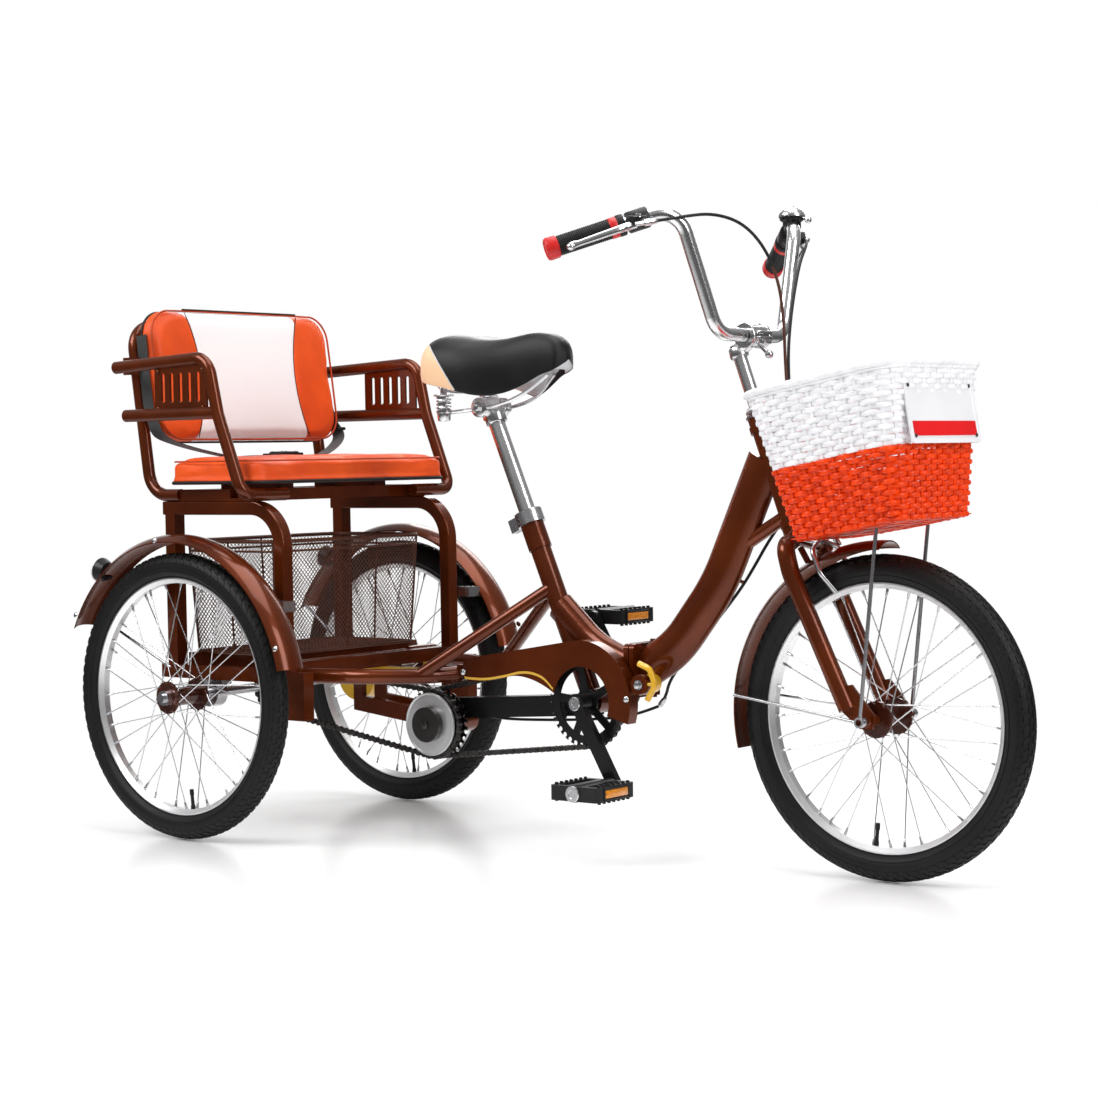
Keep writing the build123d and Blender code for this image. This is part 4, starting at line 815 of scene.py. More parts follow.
# ---------------------------------------------------------------- floor, light and camera
def floor_finish():
    """Pale floor that keeps the shadow near the object and fades to plain white further out."""
    material, tree, shader = open_material("studio_floor")
    set_inputs(shader, Roughness=0.22)
    shader.inputs["Specular IOR Level"].default_value = 0.35
    cloud = blend_node(tree, noise_on(tree, 0.7, 2), (0.93, 0.93, 0.93), (0.9, 0.9, 0.9))
    tree.links.new(cloud, shader.inputs["Base Color"])
    x, y, _ = object_axes(tree)
    flat = math_node(tree, "SQRT", math_node(tree, "MULTIPLY_ADD", x, x, math_node(tree, "MULTIPLY", y, y)))
    far = spread(tree, flat, 0.9, 2.0, 0.0, 1.0)
    path = tree.nodes.new("ShaderNodeLightPath")
    seen = math_node(tree, "MAXIMUM", path.outputs["Is Camera Ray"], path.outputs["Is Glossy Ray"])
    share = math_node(tree, "MULTIPLY", far, seen)
    glow = tree.nodes.new("ShaderNodeEmission")
    tree.links.new(
        blend_node(tree, path.outputs["Is Camera Ray"], (0.1, 0.1, 0.1), (1.0, 1.0, 1.0)), glow.inputs["Color"]
    )
    mix = tree.nodes.new("ShaderNodeMixShader")
    tree.links.new(share, mix.inputs[0])
    tree.links.new(shader.outputs[0], mix.inputs[1])
    tree.links.new(glow.outputs[0], mix.inputs[2])
    out = next(n for n in tree.nodes if n.type == "OUTPUT_MATERIAL")
    tree.links.new(mix.outputs[0], out.inputs["Surface"])
    return material


def make_floor():
    floor = added("studio_floor", bpy.ops.mesh.primitive_grid_add, x_subdivisions=24, y_subdivisions=24, size=24)
    floor.data.materials.append(floor_finish())


BACKDROP = (-0.62, 0.78, 0.0)


def background_node(tree, strength):
    node = tree.nodes.new("ShaderNodeBackground")
    node.inputs["Strength"].default_value = strength
    return node


def make_world(look):
    world = bpy.data.worlds.new("studio") if bpy.context.scene.world is None else bpy.context.scene.world
    bpy.context.scene.world = world
    world.use_nodes = True
    tree = world.node_tree
    tree.nodes.clear()
    path = tree.nodes.new("ShaderNodeLightPath")
    spot = tree.nodes.new("ShaderNodeTexCoord")
    apart = tree.nodes.new("ShaderNodeSeparateXYZ")
    tree.links.new(spot.outputs["Generated"], apart.inputs["Vector"])
    facing = tree.nodes.new("ShaderNodeVectorMath")
    facing.operation = "DOT_PRODUCT"
    facing.inputs[1].default_value = BACKDROP
    tree.links.new(spot.outputs["Generated"], facing.inputs[0])
    side = spread(tree, facing.outputs["Value"], 0.72, 0.9, 0.0, 1.0)
    lower = spread(tree, apart.outputs["Z"], 0.3, 0.55, 1.0, 0.0)
    backdrop = math_node(tree, "MULTIPLY", side, lower)
    sky = spread(tree, apart.outputs["Z"], -0.15, 0.75, 0, 1)
    soft = background_node(tree, look.fill_light)
    tree.links.new(blend_node(tree, sky, (0.45, 0.45, 0.46), (1.0, 1.0, 1.0)), soft.inputs["Color"])
    room = background_node(tree, 1.0)
    walls = blend_node(tree, sky, (0.07, 0.07, 0.07), (0.4, 0.4, 0.4))
    tree.links.new(blend_node(tree, backdrop, walls, (1.0, 1.0, 1.0)), room.inputs["Color"])
    white = background_node(tree, 1.0)
    white.inputs["Color"].default_value = (1, 1, 1, 1)
    seen = math_node(tree, "MAXIMUM", path.outputs["Is Camera Ray"], path.outputs["Is Transmission Ray"])
    mirrored = tree.nodes.new("ShaderNodeMixShader")
    tree.links.new(path.outputs["Is Glossy Ray"], mirrored.inputs[0])
    tree.links.new(soft.outputs[0], mirrored.inputs[1])
    tree.links.new(room.outputs[0], mirrored.inputs[2])
    mix = tree.nodes.new("ShaderNodeMixShader")
    out = tree.nodes.new("ShaderNodeOutputWorld")
    tree.links.new(seen, mix.inputs[0])
    tree.links.new(mirrored.outputs[0], mix.inputs[1])
    tree.links.new(white.outputs[0], mix.inputs[2])
    tree.links.new(mix.outputs[0], out.inputs["Surface"])


def make_lamp(name, place, aim, size, power):
    """Soft rectangular lamp pointing at a spot."""
    drop_selection()
    bpy.ops.object.light_add(type="AREA", location=place)
    lamp = bpy.context.object
    lamp.name = name
    lamp.data.shape = "RECTANGLE"
    lamp.data.size, lamp.data.size_y = size
    lamp.data.energy = power
    lamp.rotation_mode = "QUATERNION"
    lamp.rotation_quaternion = (Vector(place) - Vector(aim)).to_track_quat("Z", "Y")
    return lamp


def make_lamps(look):
    low, high = CAD_BOX
    middle = (Vector(low) + Vector(high)) / 2
    power = look.key_light
    make_lamp("key softbox", middle + Vector((-1.3, -2.6, 2.4)), middle, (2.4, 1.6), power)
    make_lamp("side softbox", middle + Vector((3.4, -0.4, 1.7)), middle, (1.4, 2.6), power * 0.7)
    make_lamp("top softbox", middle + Vector((0.2, 0.3, 3.0)), middle, (3.2, 2.2), power * 0.8)
    make_lamp("back softbox", middle + Vector((-1.6, 3.0, 1.8)), middle, (2.4, 1.4), power * 0.45)


def make_camera(look):
    """Long-lens camera low on the object's right front quarter."""
    yaw, pitch, roll = look.camera_yaw, look.camera_pitch, look.camera_roll
    ahead = Vector((-math.sin(yaw) * math.cos(pitch), math.cos(yaw) * math.cos(pitch), -math.sin(pitch)))
    right = ahead.cross(UP).normalized()
    up = right.cross(ahead)
    turned = math.cos(roll) * right + math.sin(roll) * up
    rise = math.cos(roll) * up - math.sin(roll) * right
    drop_selection()
    bpy.ops.object.camera_add()
    camera = bpy.context.object
    camera.name = "camera"
    place = Matrix((turned, rise, -ahead)).transposed().to_4x4()
    place.translation = Vector((REAR.x, 0, 0)) + Vector(look.camera_place)
    camera.matrix_world = place
    camera.data.sensor_width = 36.0
    camera.data.lens = look.camera_lens
    camera.data.clip_end = 60
    bpy.context.scene.camera = camera


# ---------------------------------------------------------------- wheels
WHEELS = (
    ("front", FRONT, "front_wheel"),
    ("right", REAR - LEFT * TRACK_HALF, "drive_wheel"),
    ("left", REAR + LEFT * TRACK_HALF, "free_wheel"),
)
TYRE_R = REAR.z
SECTION_R = 0.0235


def tread_block(wide, long, tall, skew):
    """One tread block on Z, its footprint skewed and its top edges eased."""
    block = added("tread block", bpy.ops.mesh.primitive_cube_add, size=1, location=(0, 0, 0.5))
    choose(block, lambda spot: spot.co.z > 0.9, "VERT")
    bpy.ops.transform.resize(value=(0.86, 0.86, 1), center_override=(0, 0, 1))
    object_mode()
    for spot in block.data.vertices:
        x, y, z = spot.co
        spot.co = (x * long + y * skew, y * wide, z * tall - tall * 0.35)
    return block


def make_tyre(name, centre, body, node):
    """Tyre: a round carcass, seven rows of skewed tread blocks, and two raised lines on each wall."""
    middle = TYRE_R - SECTION_R
    carcass = SECTION_R - 0.0018
    outline = []
    for step in range(25):
        angle = math.radians(-142 + step * 284 / 24)
        outline.append((1000 * carcass * math.sin(angle), 1000 * (middle + carcass * math.cos(angle))))
    across, reach = outline[-1]
    outline += [(across * 0.98, reach - 3), (11, 211.2), (-11, 211.2), (-across * 0.98, reach - 3)]
    outline.append(outline[0])
    piece = spun(name, centre, LEFT, UP, 96, outline)
    rows = []
    for tilt, wide, long, count, skew, shift in (
        (0, 0.0052, 0.012, 84, 0.0, 0.0), (20, 0.0062, 0.0125, 84, 0.5, 0.5), (-20, 0.0062, 0.0125, 84, -0.5, 0.5),
        (42, 0.0085, 0.0095, 84, 0.8, 0.1), (-42, 0.0085, 0.0095, 84, -0.8, 0.1),
        (64, 0.007, 0.007, 84, 0.5, 0.6), (-64, 0.007, 0.007, 84, -0.5, 0.6),
    ):
        block = tread_block(wide, long, 0.0024 if abs(tilt) < 50 else 0.0018, skew * wide)
        out = Vector((0, math.sin(math.radians(tilt)), math.cos(math.radians(tilt))))
        spot = centre + UP * middle + out * (carcass - 0.0006)
        place = stand(spot, out, AHEAD)
        first = shift * 2 * math.pi / count
        rows.append(copies("tread row", block, list(ring_places(centre, LEFT, count, place, first))))
    for side in (-1, 1):
        for radius, wall in ((0.2175, 0.0012), (0.232, 0.0007)):
            reach = math.sqrt(max(carcass**2 - (radius - middle) ** 2, 0.0))
            line = added(
                "wall line", bpy.ops.mesh.primitive_torus_add, major_segments=96, minor_segments=6,
                major_radius=radius, minor_radius=wall, rotation=(math.pi / 2, 0, 0),
                location=centre + LEFT * side * reach,
            )
            rows.append(line)
    finish_piece(gather(name, [piece] + rows), body, "tyre", "tyre_rubber", node)


def make_rim_fittings(name, centre, body, half):
    """Spoke nipples and the valve of one wheel."""
    nipples = []
    reach, root_r = 0.1966, 0.024
    for side in (-1, 1):
        for turn in (-1, 1):
            offset = (0 if turn > 0 else 20) + (10 if side > 0 else 0)
            for i in range(9):
                base = math.radians(offset + i * 40)
                tip_turn = base + math.radians(turn * 62)
                tip = centre + Vector((reach * math.cos(tip_turn), -side * 0.003, reach * math.sin(tip_turn)))
                root = centre + Vector(
                    (root_r * math.cos(base), -side * (half + turn * 0.002), root_r * math.sin(base))
                )
                nipples.append(stand(tip, root - tip))
    model = spun("nipple", Vector((0, 0, 0)), UP, AHEAD, 8)
    finish_piece(copies(name, model, nipples), body, "steel", "steel")
    stem = spun(name + "_valve", Vector((0, 0, 0)), UP, AHEAD, 16, outline=OUTLINES["valve stem"])
    turn = math.radians(-96 if name.startswith("front") else -84)
    out = Vector((math.cos(turn), 0, math.sin(turn)))
    finish_piece(put(name + "_valve", stem, stand(centre + out * 0.1972, -out)), body, "rubber", "black_plastic")


# ---------------------------------------------------------------- cushions
CUSHION_CORNER = 0.024
PAD_CORNER = 0.05
PAD_LEAN = math.radians(8)


def stuff(piece, voxel, cap, pressure, hold=None):
    """Swells a closed shape as if filled, holds how far it may move, and rounds it with one subdivision."""
    pick(piece)
    piece.data.remesh_voxel_size = voxel
    bpy.ops.object.voxel_remesh()
    rest = [spot.co.copy() for spot in piece.data.vertices]
    bpy.ops.object.modifier_add(type="CLOTH")
    cloth = piece.modifiers[-1]
    cloth.settings.quality = 4
    cloth.settings.tension_stiffness = 20
    cloth.settings.compression_stiffness = 20
    cloth.settings.bending_stiffness = 1.5
    cloth.settings.use_pressure = True
    cloth.settings.uniform_pressure_force = pressure
    cloth.settings.effector_weights.gravity = 0
    scene = bpy.context.scene
    scene.frame_start, scene.frame_end = 1, 20
    for step in range(1, 21):
        scene.frame_set(step)
    bpy.ops.object.modifier_apply(modifier=cloth.name)
    scene.frame_set(1)
    for spot, was in zip(piece.data.vertices, rest):
        moved = spot.co - was
        share = hold(was) if hold else 1.0
        limit = cap * share
        if moved.length > limit:
            spot.co = was + moved * (limit / moved.length)
    apply_modifier(piece, "SMOOTH", factor=0.5, iterations=3)
    apply_modifier(piece, "SUBSURF", levels=1, render_levels=1)
    for face in piece.data.polygons:
        face.use_smooth = True
    return piece


def round_outline(half_x, half_y, corner, grow, steps):
    """Points round a rectangle whose corners are arcs, the arcs grown outwards if asked for."""
    points = []
    for cx, cy, start in ((1, 1, 0), (-1, 1, 90), (-1, -1, 180), (1, -1, 270)):
        for step in range(steps + 1):
            angle = math.radians(start + step * 90 / steps)
            reach = corner + grow
            points.append((
                cx * (half_x - corner) + reach * math.cos(angle), cy * (half_y - corner) + reach * math.sin(angle)
            ))
    return points


def fill_out(piece, low, high):
    """Scales a cover to fill the room between two corners."""
    spots = [spot.co for spot in piece.data.vertices]
    least = [min(p[k] for p in spots) for k in range(3)]
    most = [max(p[k] for p in spots) for k in range(3)]
    for spot in piece.data.vertices:
        spot.co = [low[k] + (spot.co[k] - least[k]) / (most[k] - least[k]) * (high[k] - low[k]) for k in range(3)]


def make_bench_cushion():
    """Bench cushion: boxed sides, a crowned top, and dark piping round its foot."""
    low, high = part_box("bench_cushion")
    middle, size = (low + high) / 2, high - low
    piece = added(
        "bench_cushion_cover", bpy.ops.mesh.primitive_cube_add, size=1, location=middle,
        scale=(size.x - 0.012, size.y - 0.012, size.z - 0.007)
    )
    piece.data.transform(Matrix.Translation((0, 0, -0.0032)))
    choose_edges(piece, lambda a, b: abs(a.z - b.z) > 0.01)
    bpy.ops.mesh.bevel(offset=CUSHION_CORNER, segments=5)
    object_mode()
    apply_modifier(piece, "BEVEL", width=0.005, segments=2, limit_method="ANGLE", angle_limit=0.9)
    stuff(piece, 0.005, 0.009, 4.0, lambda p: 0.25 if p.z < low.z + 0.008 else 1.0)
    fill_out(
        piece, (low.x + 0.001, low.y + 0.001, low.z + 0.0004), (high.x - 0.001, high.y - 0.001, high.z - 0.0005)
    )
    for spot in piece.data.vertices:
        x, y, z = spot.co
        share_x = min(1.0, abs(x - middle.x) / (size.x / 2))
        share_y = min(1.0, abs(y - middle.y) / (size.y / 2))
        if z > middle.z:
            z += 0.004 * (1 - share_x**3) * (1 - share_y**4) - 0.0015 * max(share_x, share_y) ** 8
        z += 0.0012 * math.sin(y * 41) * math.sin(x * 23 + 1.0) * (1 if z > middle.z else 0)
        spot.co = (
            min(max(x, low.x - 0.002), high.x + 0.002), min(max(y, low.y - 0.002), high.y + 0.002),
            max(z, low.z + 0.0002)
        )
    finish_piece(piece, "rear_body", "seat", "leather", "bench_cushion", angle=None)

    for name, inset, z, radius, key in (
        ("bench_cushion_foot_piping", 0.001, low.z + 0.0032, 0.0032, "piping"),
        ("bench_cushion_top_seam", 0.0035, high.z - 0.0055, 0.0016, "seat_piping"),
    ):
        outline = round_outline(size.x / 2 - inset, size.y / 2 - inset, CUSHION_CORNER, 0, 6)
        finish_piece(
            wire(name, [(middle.x + x, middle.y + y, z) for x, y in outline], radius, closed=True, steps=3),
            "rear_body", key, "leather", angle=60
        )


def make_backrest():
    """Backrest pad: a stuffed slab with round corners, piped edges and a light waisted middle panel."""
    low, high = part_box("backrest_pad")
    half_wide, half_tall, half_thick = (high.y - low.y) / 2, 0.12, 0.017
    place = stand((low + high) / 2, Vector((math.cos(PAD_LEAN), 0, math.sin(PAD_LEAN))), LEFT)
    piece = added(
        "backrest_cover", bpy.ops.mesh.primitive_cube_add, size=1,
        scale=(2 * half_wide - 0.01, 2 * half_tall - 0.01, 2 * half_thick - 0.01)
    )
    choose_edges(piece, lambda a, b: abs(a.z - b.z) > 0.01)
    bpy.ops.mesh.bevel(offset=PAD_CORNER, segments=8)
    object_mode()
    apply_modifier(piece, "BEVEL", width=0.006, segments=2, limit_method="ANGLE", angle_limit=0.9)
    stuff(piece, 0.0045, 0.008, 4.0, lambda p: 0.5 if p.z < 0 else 1.0)
    fill_out(
        piece, (-half_wide + 0.001, -half_tall + 0.001, -half_thick + 0.0005),
        (half_wide - 0.001, half_tall - 0.001, half_thick)
    )
    for spot in piece.data.vertices:
        x, y, z = spot.co
        edge = panel_edge(y)
        if z > 0:
            near = max(0.0, 1 - abs(abs(x) - edge) / 0.006)
            z -= 0.0018 * near * near
            z += 0.0016 * (1 - min(1.0, abs(x) / half_wide) ** 4) * (1 - min(1.0, abs(y) / half_tall) ** 4)
        z = min(max(z, -half_thick), half_thick + 0.004)
        spot.co = (
            min(max(x, -half_wide - 0.001), half_wide + 0.001), min(max(y, -half_tall - 0.001), half_tall + 0.001),
            z
        )
    piece = put("backrest_cover", piece, place)
    finish_piece(piece, "rear_body", "back", "leather", "backrest_pad", angle=None)

    for name, grow, depth, radius, key in (
        ("backrest_front_piping", -0.0025, half_thick - 0.0045, 0.0019, "seat_piping"),
        ("backrest_rear_piping", -0.0015, -half_thick + 0.004, 0.0022, "piping"),
    ):
        outline = round_outline(half_wide, half_tall, PAD_CORNER, grow, 6)
        finish_piece(
            wire(name, [place @ Vector((x, y, depth)) for x, y in outline], radius, closed=True, steps=3),
            "rear_body", key, "leather", angle=60
        )
    seams = []
    for side in (-1, 1):
        points = []
        for step in range(13):
            y = -half_tall + 0.006 + step * (2 * half_tall - 0.012) / 12
            x = side * panel_edge(y)
            points.append(place @ Vector((x, y, half_thick + 0.0002 - 0.0022 * (abs(y) / half_tall) ** 8)))
        seams.append(wire("panel seam", points, 0.0009, steps=4, sides=6))
    top_y = half_tall - 0.0015
    edge = panel_edge(top_y)
    points = [place @ Vector((-edge + step * edge / 4, top_y + 0.0012, half_thick - 0.004)) for step in range(9)]
    seams.append(wire("top cord", points, 0.0019, steps=3))
    finish_piece(gather("backrest_panel_seams", seams), "rear_body", "piping", "leather", angle=60)


# ---------------------------------------------------------------- saddle
SADDLE_LINE = (
    # ahead of the rear axle, half width, height of the crest, height of the skirt's lower edge
    (366, 30, 836, 806), (372, 60, 846, 790), (384, 82, 857, 784), (405, 97, 865, 779), (430, 101, 867, 774),
    (455, 99, 864, 768), (480, 91, 859, 761), (505, 77, 857, 756), (530, 62, 858, 757), (555, 49, 862, 764),
    (580, 39, 865, 776), (600, 33, 863, 787), (618, 29, 857, 794), (631, 24, 846, 800), (638, 14, 832, 808),
)


def saddle_at(x):
    """Half width, crest and skirt heights in metres, a distance in millimetres ahead of the rear axle."""
    line = SADDLE_LINE
    x = min(max(x, line[0][0]), line[-1][0])
    for i, (a, b) in enumerate(zip(line, line[1:])):
        if x <= b[0]:
            break
    before, after = line[max(i - 1, 0)], line[min(i + 2, len(line) - 1)]
    t = (x - a[0]) / (b[0] - a[0])
    found = []
    for k in (1, 2, 3):
        slope_a = (b[k] - before[k]) / (b[0] - before[0]) * (b[0] - a[0])
        slope_b = (after[k] - a[k]) / (after[0] - a[0]) * (b[0] - a[0])
        t2, t3 = t * t, t * t * t
        value = (
            2 * t3 - 3 * t2 + 1
        ) * a[k] + (t3 - 2 * t2 + t) * slope_a + (3 * t2 - 2 * t3) * b[k] + (t3 - t2) * slope_b
        found.append(value / 1000)
    return found


TAIL_TOP_Z = 0.853
TAIL_TALL = 0.088


def tail_line(z):
    """How far ahead the sand coloured tail reaches at a height, in millimetres."""
    return 374 + 96 * min(1.0, max(0.0, TAIL_TOP_Z - z) / TAIL_TALL) ** 0.45


def make_saddle():
    """Saddle: a deep-sided padded cover, black with a sand coloured tail, over a hollow pale base."""
    piece = added(
        "saddle_cover", bpy.ops.mesh.primitive_uv_sphere_add, segments=96, ring_count=72, radius=1,
        rotation=(0, math.pi / 2, 0)
    )
    for spot in piece.data.vertices:
        x, y, z = spot.co
        around = math.hypot(y, z)
        cos_t, sin_t = (y / around, z / around) if around > 1e-5 else (0.0, 0.0)
        ahead = 503 + 137 * x
        half, crest, skirt = saddle_at(ahead)
        swell = min(1.0, around / 0.3) ** 0.6
        middle = skirt + 0.3 * (crest - skirt)
        if z >= 0:
            wide = half * math.copysign(abs(cos_t) ** 0.72, cos_t) * swell
            tall = middle + (crest - middle) * sin_t**0.8 * min(1.0, around / 0.25) ** 0.5
            if sin_t > 0.5:
                tall -= 0.009 * math.exp(-((y * 4.2) ** 2)) * max(0.0, 1 - x * x) * (sin_t - 0.5)
        else:
            down = -sin_t
            if down < 0.42:
                share = down / 0.42
                wide = half * math.copysign(1 - 0.05 * share**2, cos_t) * swell * abs(cos_t) ** 0.2
                tall = middle + (skirt - middle) * math.sin(share * math.pi / 2)
            else:
                share = (down - 0.42) / 0.58
                hollow = min(skirt + 0.03, crest - 0.04) if ahead < 610 else skirt + 0.006
                wide = half * math.copysign(0.93 * max(0.0, 1 - share**1.5), cos_t) * swell
                tall = skirt + (hollow - skirt) * min(1.0, share * 2.6) ** 0.7
            tall = middle + (tall - middle) * min(1.0, around / 0.25) ** 0.5
        spot.co = (REAR.x + ahead / 1000, wide, tall)
    close_up(piece, 0.00002)
    apply_modifier(piece, "SMOOTH", factor=0.5, iterations=4)
    apply_modifier(piece, "SUBSURF", levels=1, render_levels=1)
    for face in piece.data.polygons:
        face.use_smooth = True
    finish_piece(piece, "saddle_post", "saddle", "saddle_cover", "saddle", angle=None)
    piece.data.materials.append(FINISHES["saddle_tail"])
    piece.data.materials.append(FINISHES["pale_plastic"])
    for face in piece.data.polygons:
        x, y, z = face.center
        ahead = (x - REAR.x) * 1000
        half, _, skirt = saddle_at(ahead)
        tail = ahead < tail_line(z) and z < TAIL_TOP_Z
        under = face.normal.z < -0.25 and z > skirt + 0.0025 and abs(y) < half * 0.93 or face.normal.z < -0.8
        face.material_index = 2 if under else 1 if tail else 0
    # A pale cord along both edges of the sand tail: piping, whose pale colour is also a painted highlight along the
    # seam's edge.
    seam = []
    for side in (-1, 1):
        line = []
        for step in range(15):
            z = TAIL_TOP_Z - 0.084 * step / 14
            start = Vector((REAR.x + tail_line(z) / 1000, side * 0.14, z))
            hit, where, normal, _ = piece.ray_cast(start, Vector((0, -side, 0)))
            if hit:
                line.append(where + normal * 0.0002)
        seam.append(line)
    finish_piece(
        wire("saddle_tail_piping_and_highlight", seam[0][::-1] + seam[1], 0.0011, steps=3, sides=6), "saddle_post", "pale_plastic",
        "saddle_cover", angle=60
    )


def make_saddle_frame():
    """Chromed rails, coil springs and post clamp under the saddle."""
    pieces = []
    for side in (-1, 1):
        rail = [
            at(602, side * 9, 792), at(590, side * 12, 783), at(566, side * 20, 764), at(540, side * 26, 751),
            at(505, side * 28, 742), at(473, side * 28, 738), at(440, side * 36, 735), at(424, side * 48, 733),
            at(416, side * 58, 732)
        ]
        pieces.append(wire("rail", rail, 0.0034, steps=6))
        coil = []
        turns, bottom, top = 5, 0.731, 0.76
        for step in range(turns * 12 + 1):
            angle = step * math.pi / 6
            lift = 1000 * (bottom + (top - bottom) * step / (turns * 12))
            coil.append(at(416 + 11.5 * math.cos(angle), side * 60 + 11.5 * math.sin(angle), lift))
        pieces.append(wire("coil", coil, 0.0021, steps=2, sides=6))
        foot, head = at(416, side * 60, 718), at(416, side * 60, 760)
        pieces.append(spun("spring cup", foot, UP, AHEAD, 28))
        pieces.append(spun("spring plate", head, UP, AHEAD, 32))
    brace = [
        at(416, -74, 780), at(410, -60, 772), at(406, -30, 768), at(405, 0, 768), at(406, 30, 768),
        at(410, 60, 772), at(416, 74, 780)
    ]
    pieces.append(wire("rear brace", brace, 0.003, steps=5))
    clamp = at(471, 0, 740)
    pieces.append(bar("clamp barrel", clamp - LEFT * 0.04, clamp + LEFT * 0.04, 0.005, 16, 0.001))
    for side in (-1, 1):
        spot = clamp + LEFT * side * 0.028
        pieces.append(spun("rail clamp", spot, LEFT * side, SEAT, 28))
        nut = bolt_model(0.0068, 0.0065, 6, 0.0095)
        pieces.append(put("clamp nut", nut, stand(clamp + LEFT * side * 0.035, LEFT * side, UP)))
    ring_at = at(480, 0, 722)
    pieces.append(spun("post ring", ring_at, SEAT, LEFT, 36))
    finish_piece(gather("saddle_springs_and_rails", pieces), "saddle_post", "chrome", "chrome", "saddle_frame")


def make_wheels():
    for name, centre, body in WHEELS:
        make_tyre(name + "_tyre_tread", centre, body, name + "_tyre")
        make_rim_fittings(name + "_spoke_nipples", centre, body, 0.03 if name == "front" else 0.034)


# ---------------------------------------------------------------- baskets
WICKER_LOW = (at(1237, 0, 537), 0.2, 0.226, 0.036)
WICKER_HIGH = (at(1204, 0, 768), 0.272, 0.3, 0.046)
WICKER_TILT = math.radians(10)
WICKER_RISE = (WICKER_HIGH[0] - WICKER_LOW[0]).normalized()
WICKER_ROWS = 29
RED_ROWS = 14
STAKES = 50


def loop_parts(low, high):
    """Shares of the way round at which a basket's runs and corners end, from the mean of its foot and rim."""
    run_x, run_y = ((low[k] + high[k]) / 2 - (low[3] + high[3]) for k in (1, 2))
    arc = math.pi * (low[3] + high[3]) / 4
    sizes = [run_y / 2, arc, run_x, arc, run_y, arc, run_x, arc, run_y / 2]
    total, ends = sum(sizes), [0.0]
    for size in sizes:
        ends.append(ends[-1] + size / total)
    return ends


def rounded_loop(half_x, half_y, corner, share, ends):
    """Point and outward direction at a share of the way round a rounded rectangle."""
    share %= 1.0
    part = max(i for i in range(9) if share >= ends[i] - 1e-9)
    t = (share - ends[part]) / (ends[part + 1] - ends[part])
    if part % 2:
        corner_turn = part // 2
        angle = (corner_turn + t) * math.pi / 2
        signs = ((1, 1), (-1, 1), (-1, -1), (1, -1))[corner_turn]
        out = (math.cos(angle), math.sin(angle))
        return (signs[0] * (half_x - corner) + corner * out[0], signs[1] * (half_y - corner) + corner * out[1]), out
    quarter = part // 2 * math.pi / 2
    out = (round(math.cos(quarter)), round(math.sin(quarter)))
    along = (-out[1], out[0])
    reach, side = (half_x, half_y - corner) if out[0] else (half_y, half_x - corner)
    offset = t * side if part == 0 else (t - 1) * side if part == 8 else (2 * t - 1) * side
    return (out[0] * reach + along[0] * offset, out[1] * reach + along[1] * offset), out


WICKER_PARTS = loop_parts(WICKER_LOW, WICKER_HIGH)


def wicker_spot(level, share, proud=0.0):
    """Point of the basket wall at a level from 0 at its foot to 1 at its rim, a share of the way round."""
    (low, lx, ly, lr), (high, hx, hy, hr) = WICKER_LOW, WICKER_HIGH
    blend = lambda a, b: a + (b - a) * level
    (x, y), (ox, oy) = rounded_loop(
        blend(lx, hx) / 2 - 0.0025, blend(ly, hy) / 2 - 0.0025, blend(lr, hr), share, WICKER_PARTS
    )
    middle = low.lerp(high, level)
    tilt = Matrix.Rotation(-WICKER_TILT, 3, "Y")
    out = tilt @ Vector((ox, oy, 0))
    return middle + tilt @ Vector((x, y, 0)) + out * proud, out


def woven_row(name, level, phase, tall, thick, throw, rings):
    """One closed strand of cane that passes in and out of the stakes."""
    strand = added(
        name, bpy.ops.mesh.primitive_torus_add, major_segments=rings, minor_segments=8, major_radius=0.1,
        minor_radius=0.01
    )
    for i, spot in enumerate(strand.data.vertices):
        ring, turn = divmod(i, 8)
        share = ring / rings
        angle = turn * math.pi / 4
        wave = math.cos(math.pi * STAKES * share + math.pi * phase)
        wave = math.copysign(abs(wave) ** 0.6, wave)
        lean = 0.0006 * math.sin(share * 37.0 + level * 91.0)
        centre, out = wicker_spot(level, share, wave * throw)
        spot.co = centre + out * (thick * math.cos(angle)) + WICKER_RISE * (tall * math.sin(angle) + lean)
    return strand


def stake_strip(level_low, level_high, share, wide, thick):
    """Flat upright strip of cane between two levels."""
    foot, out = wicker_spot(level_low, share)
    top, _ = wicker_spot(level_high, share)
    run = top - foot
    strip = added("stake", bpy.ops.mesh.primitive_cube_add, size=1)
    for spot in strip.data.vertices:
        spot.co = (spot.co.x * thick, spot.co.y * wide, spot.co.z * run.length)
    strip.matrix_world = stand((foot + top) / 2, run, out)
    return strip


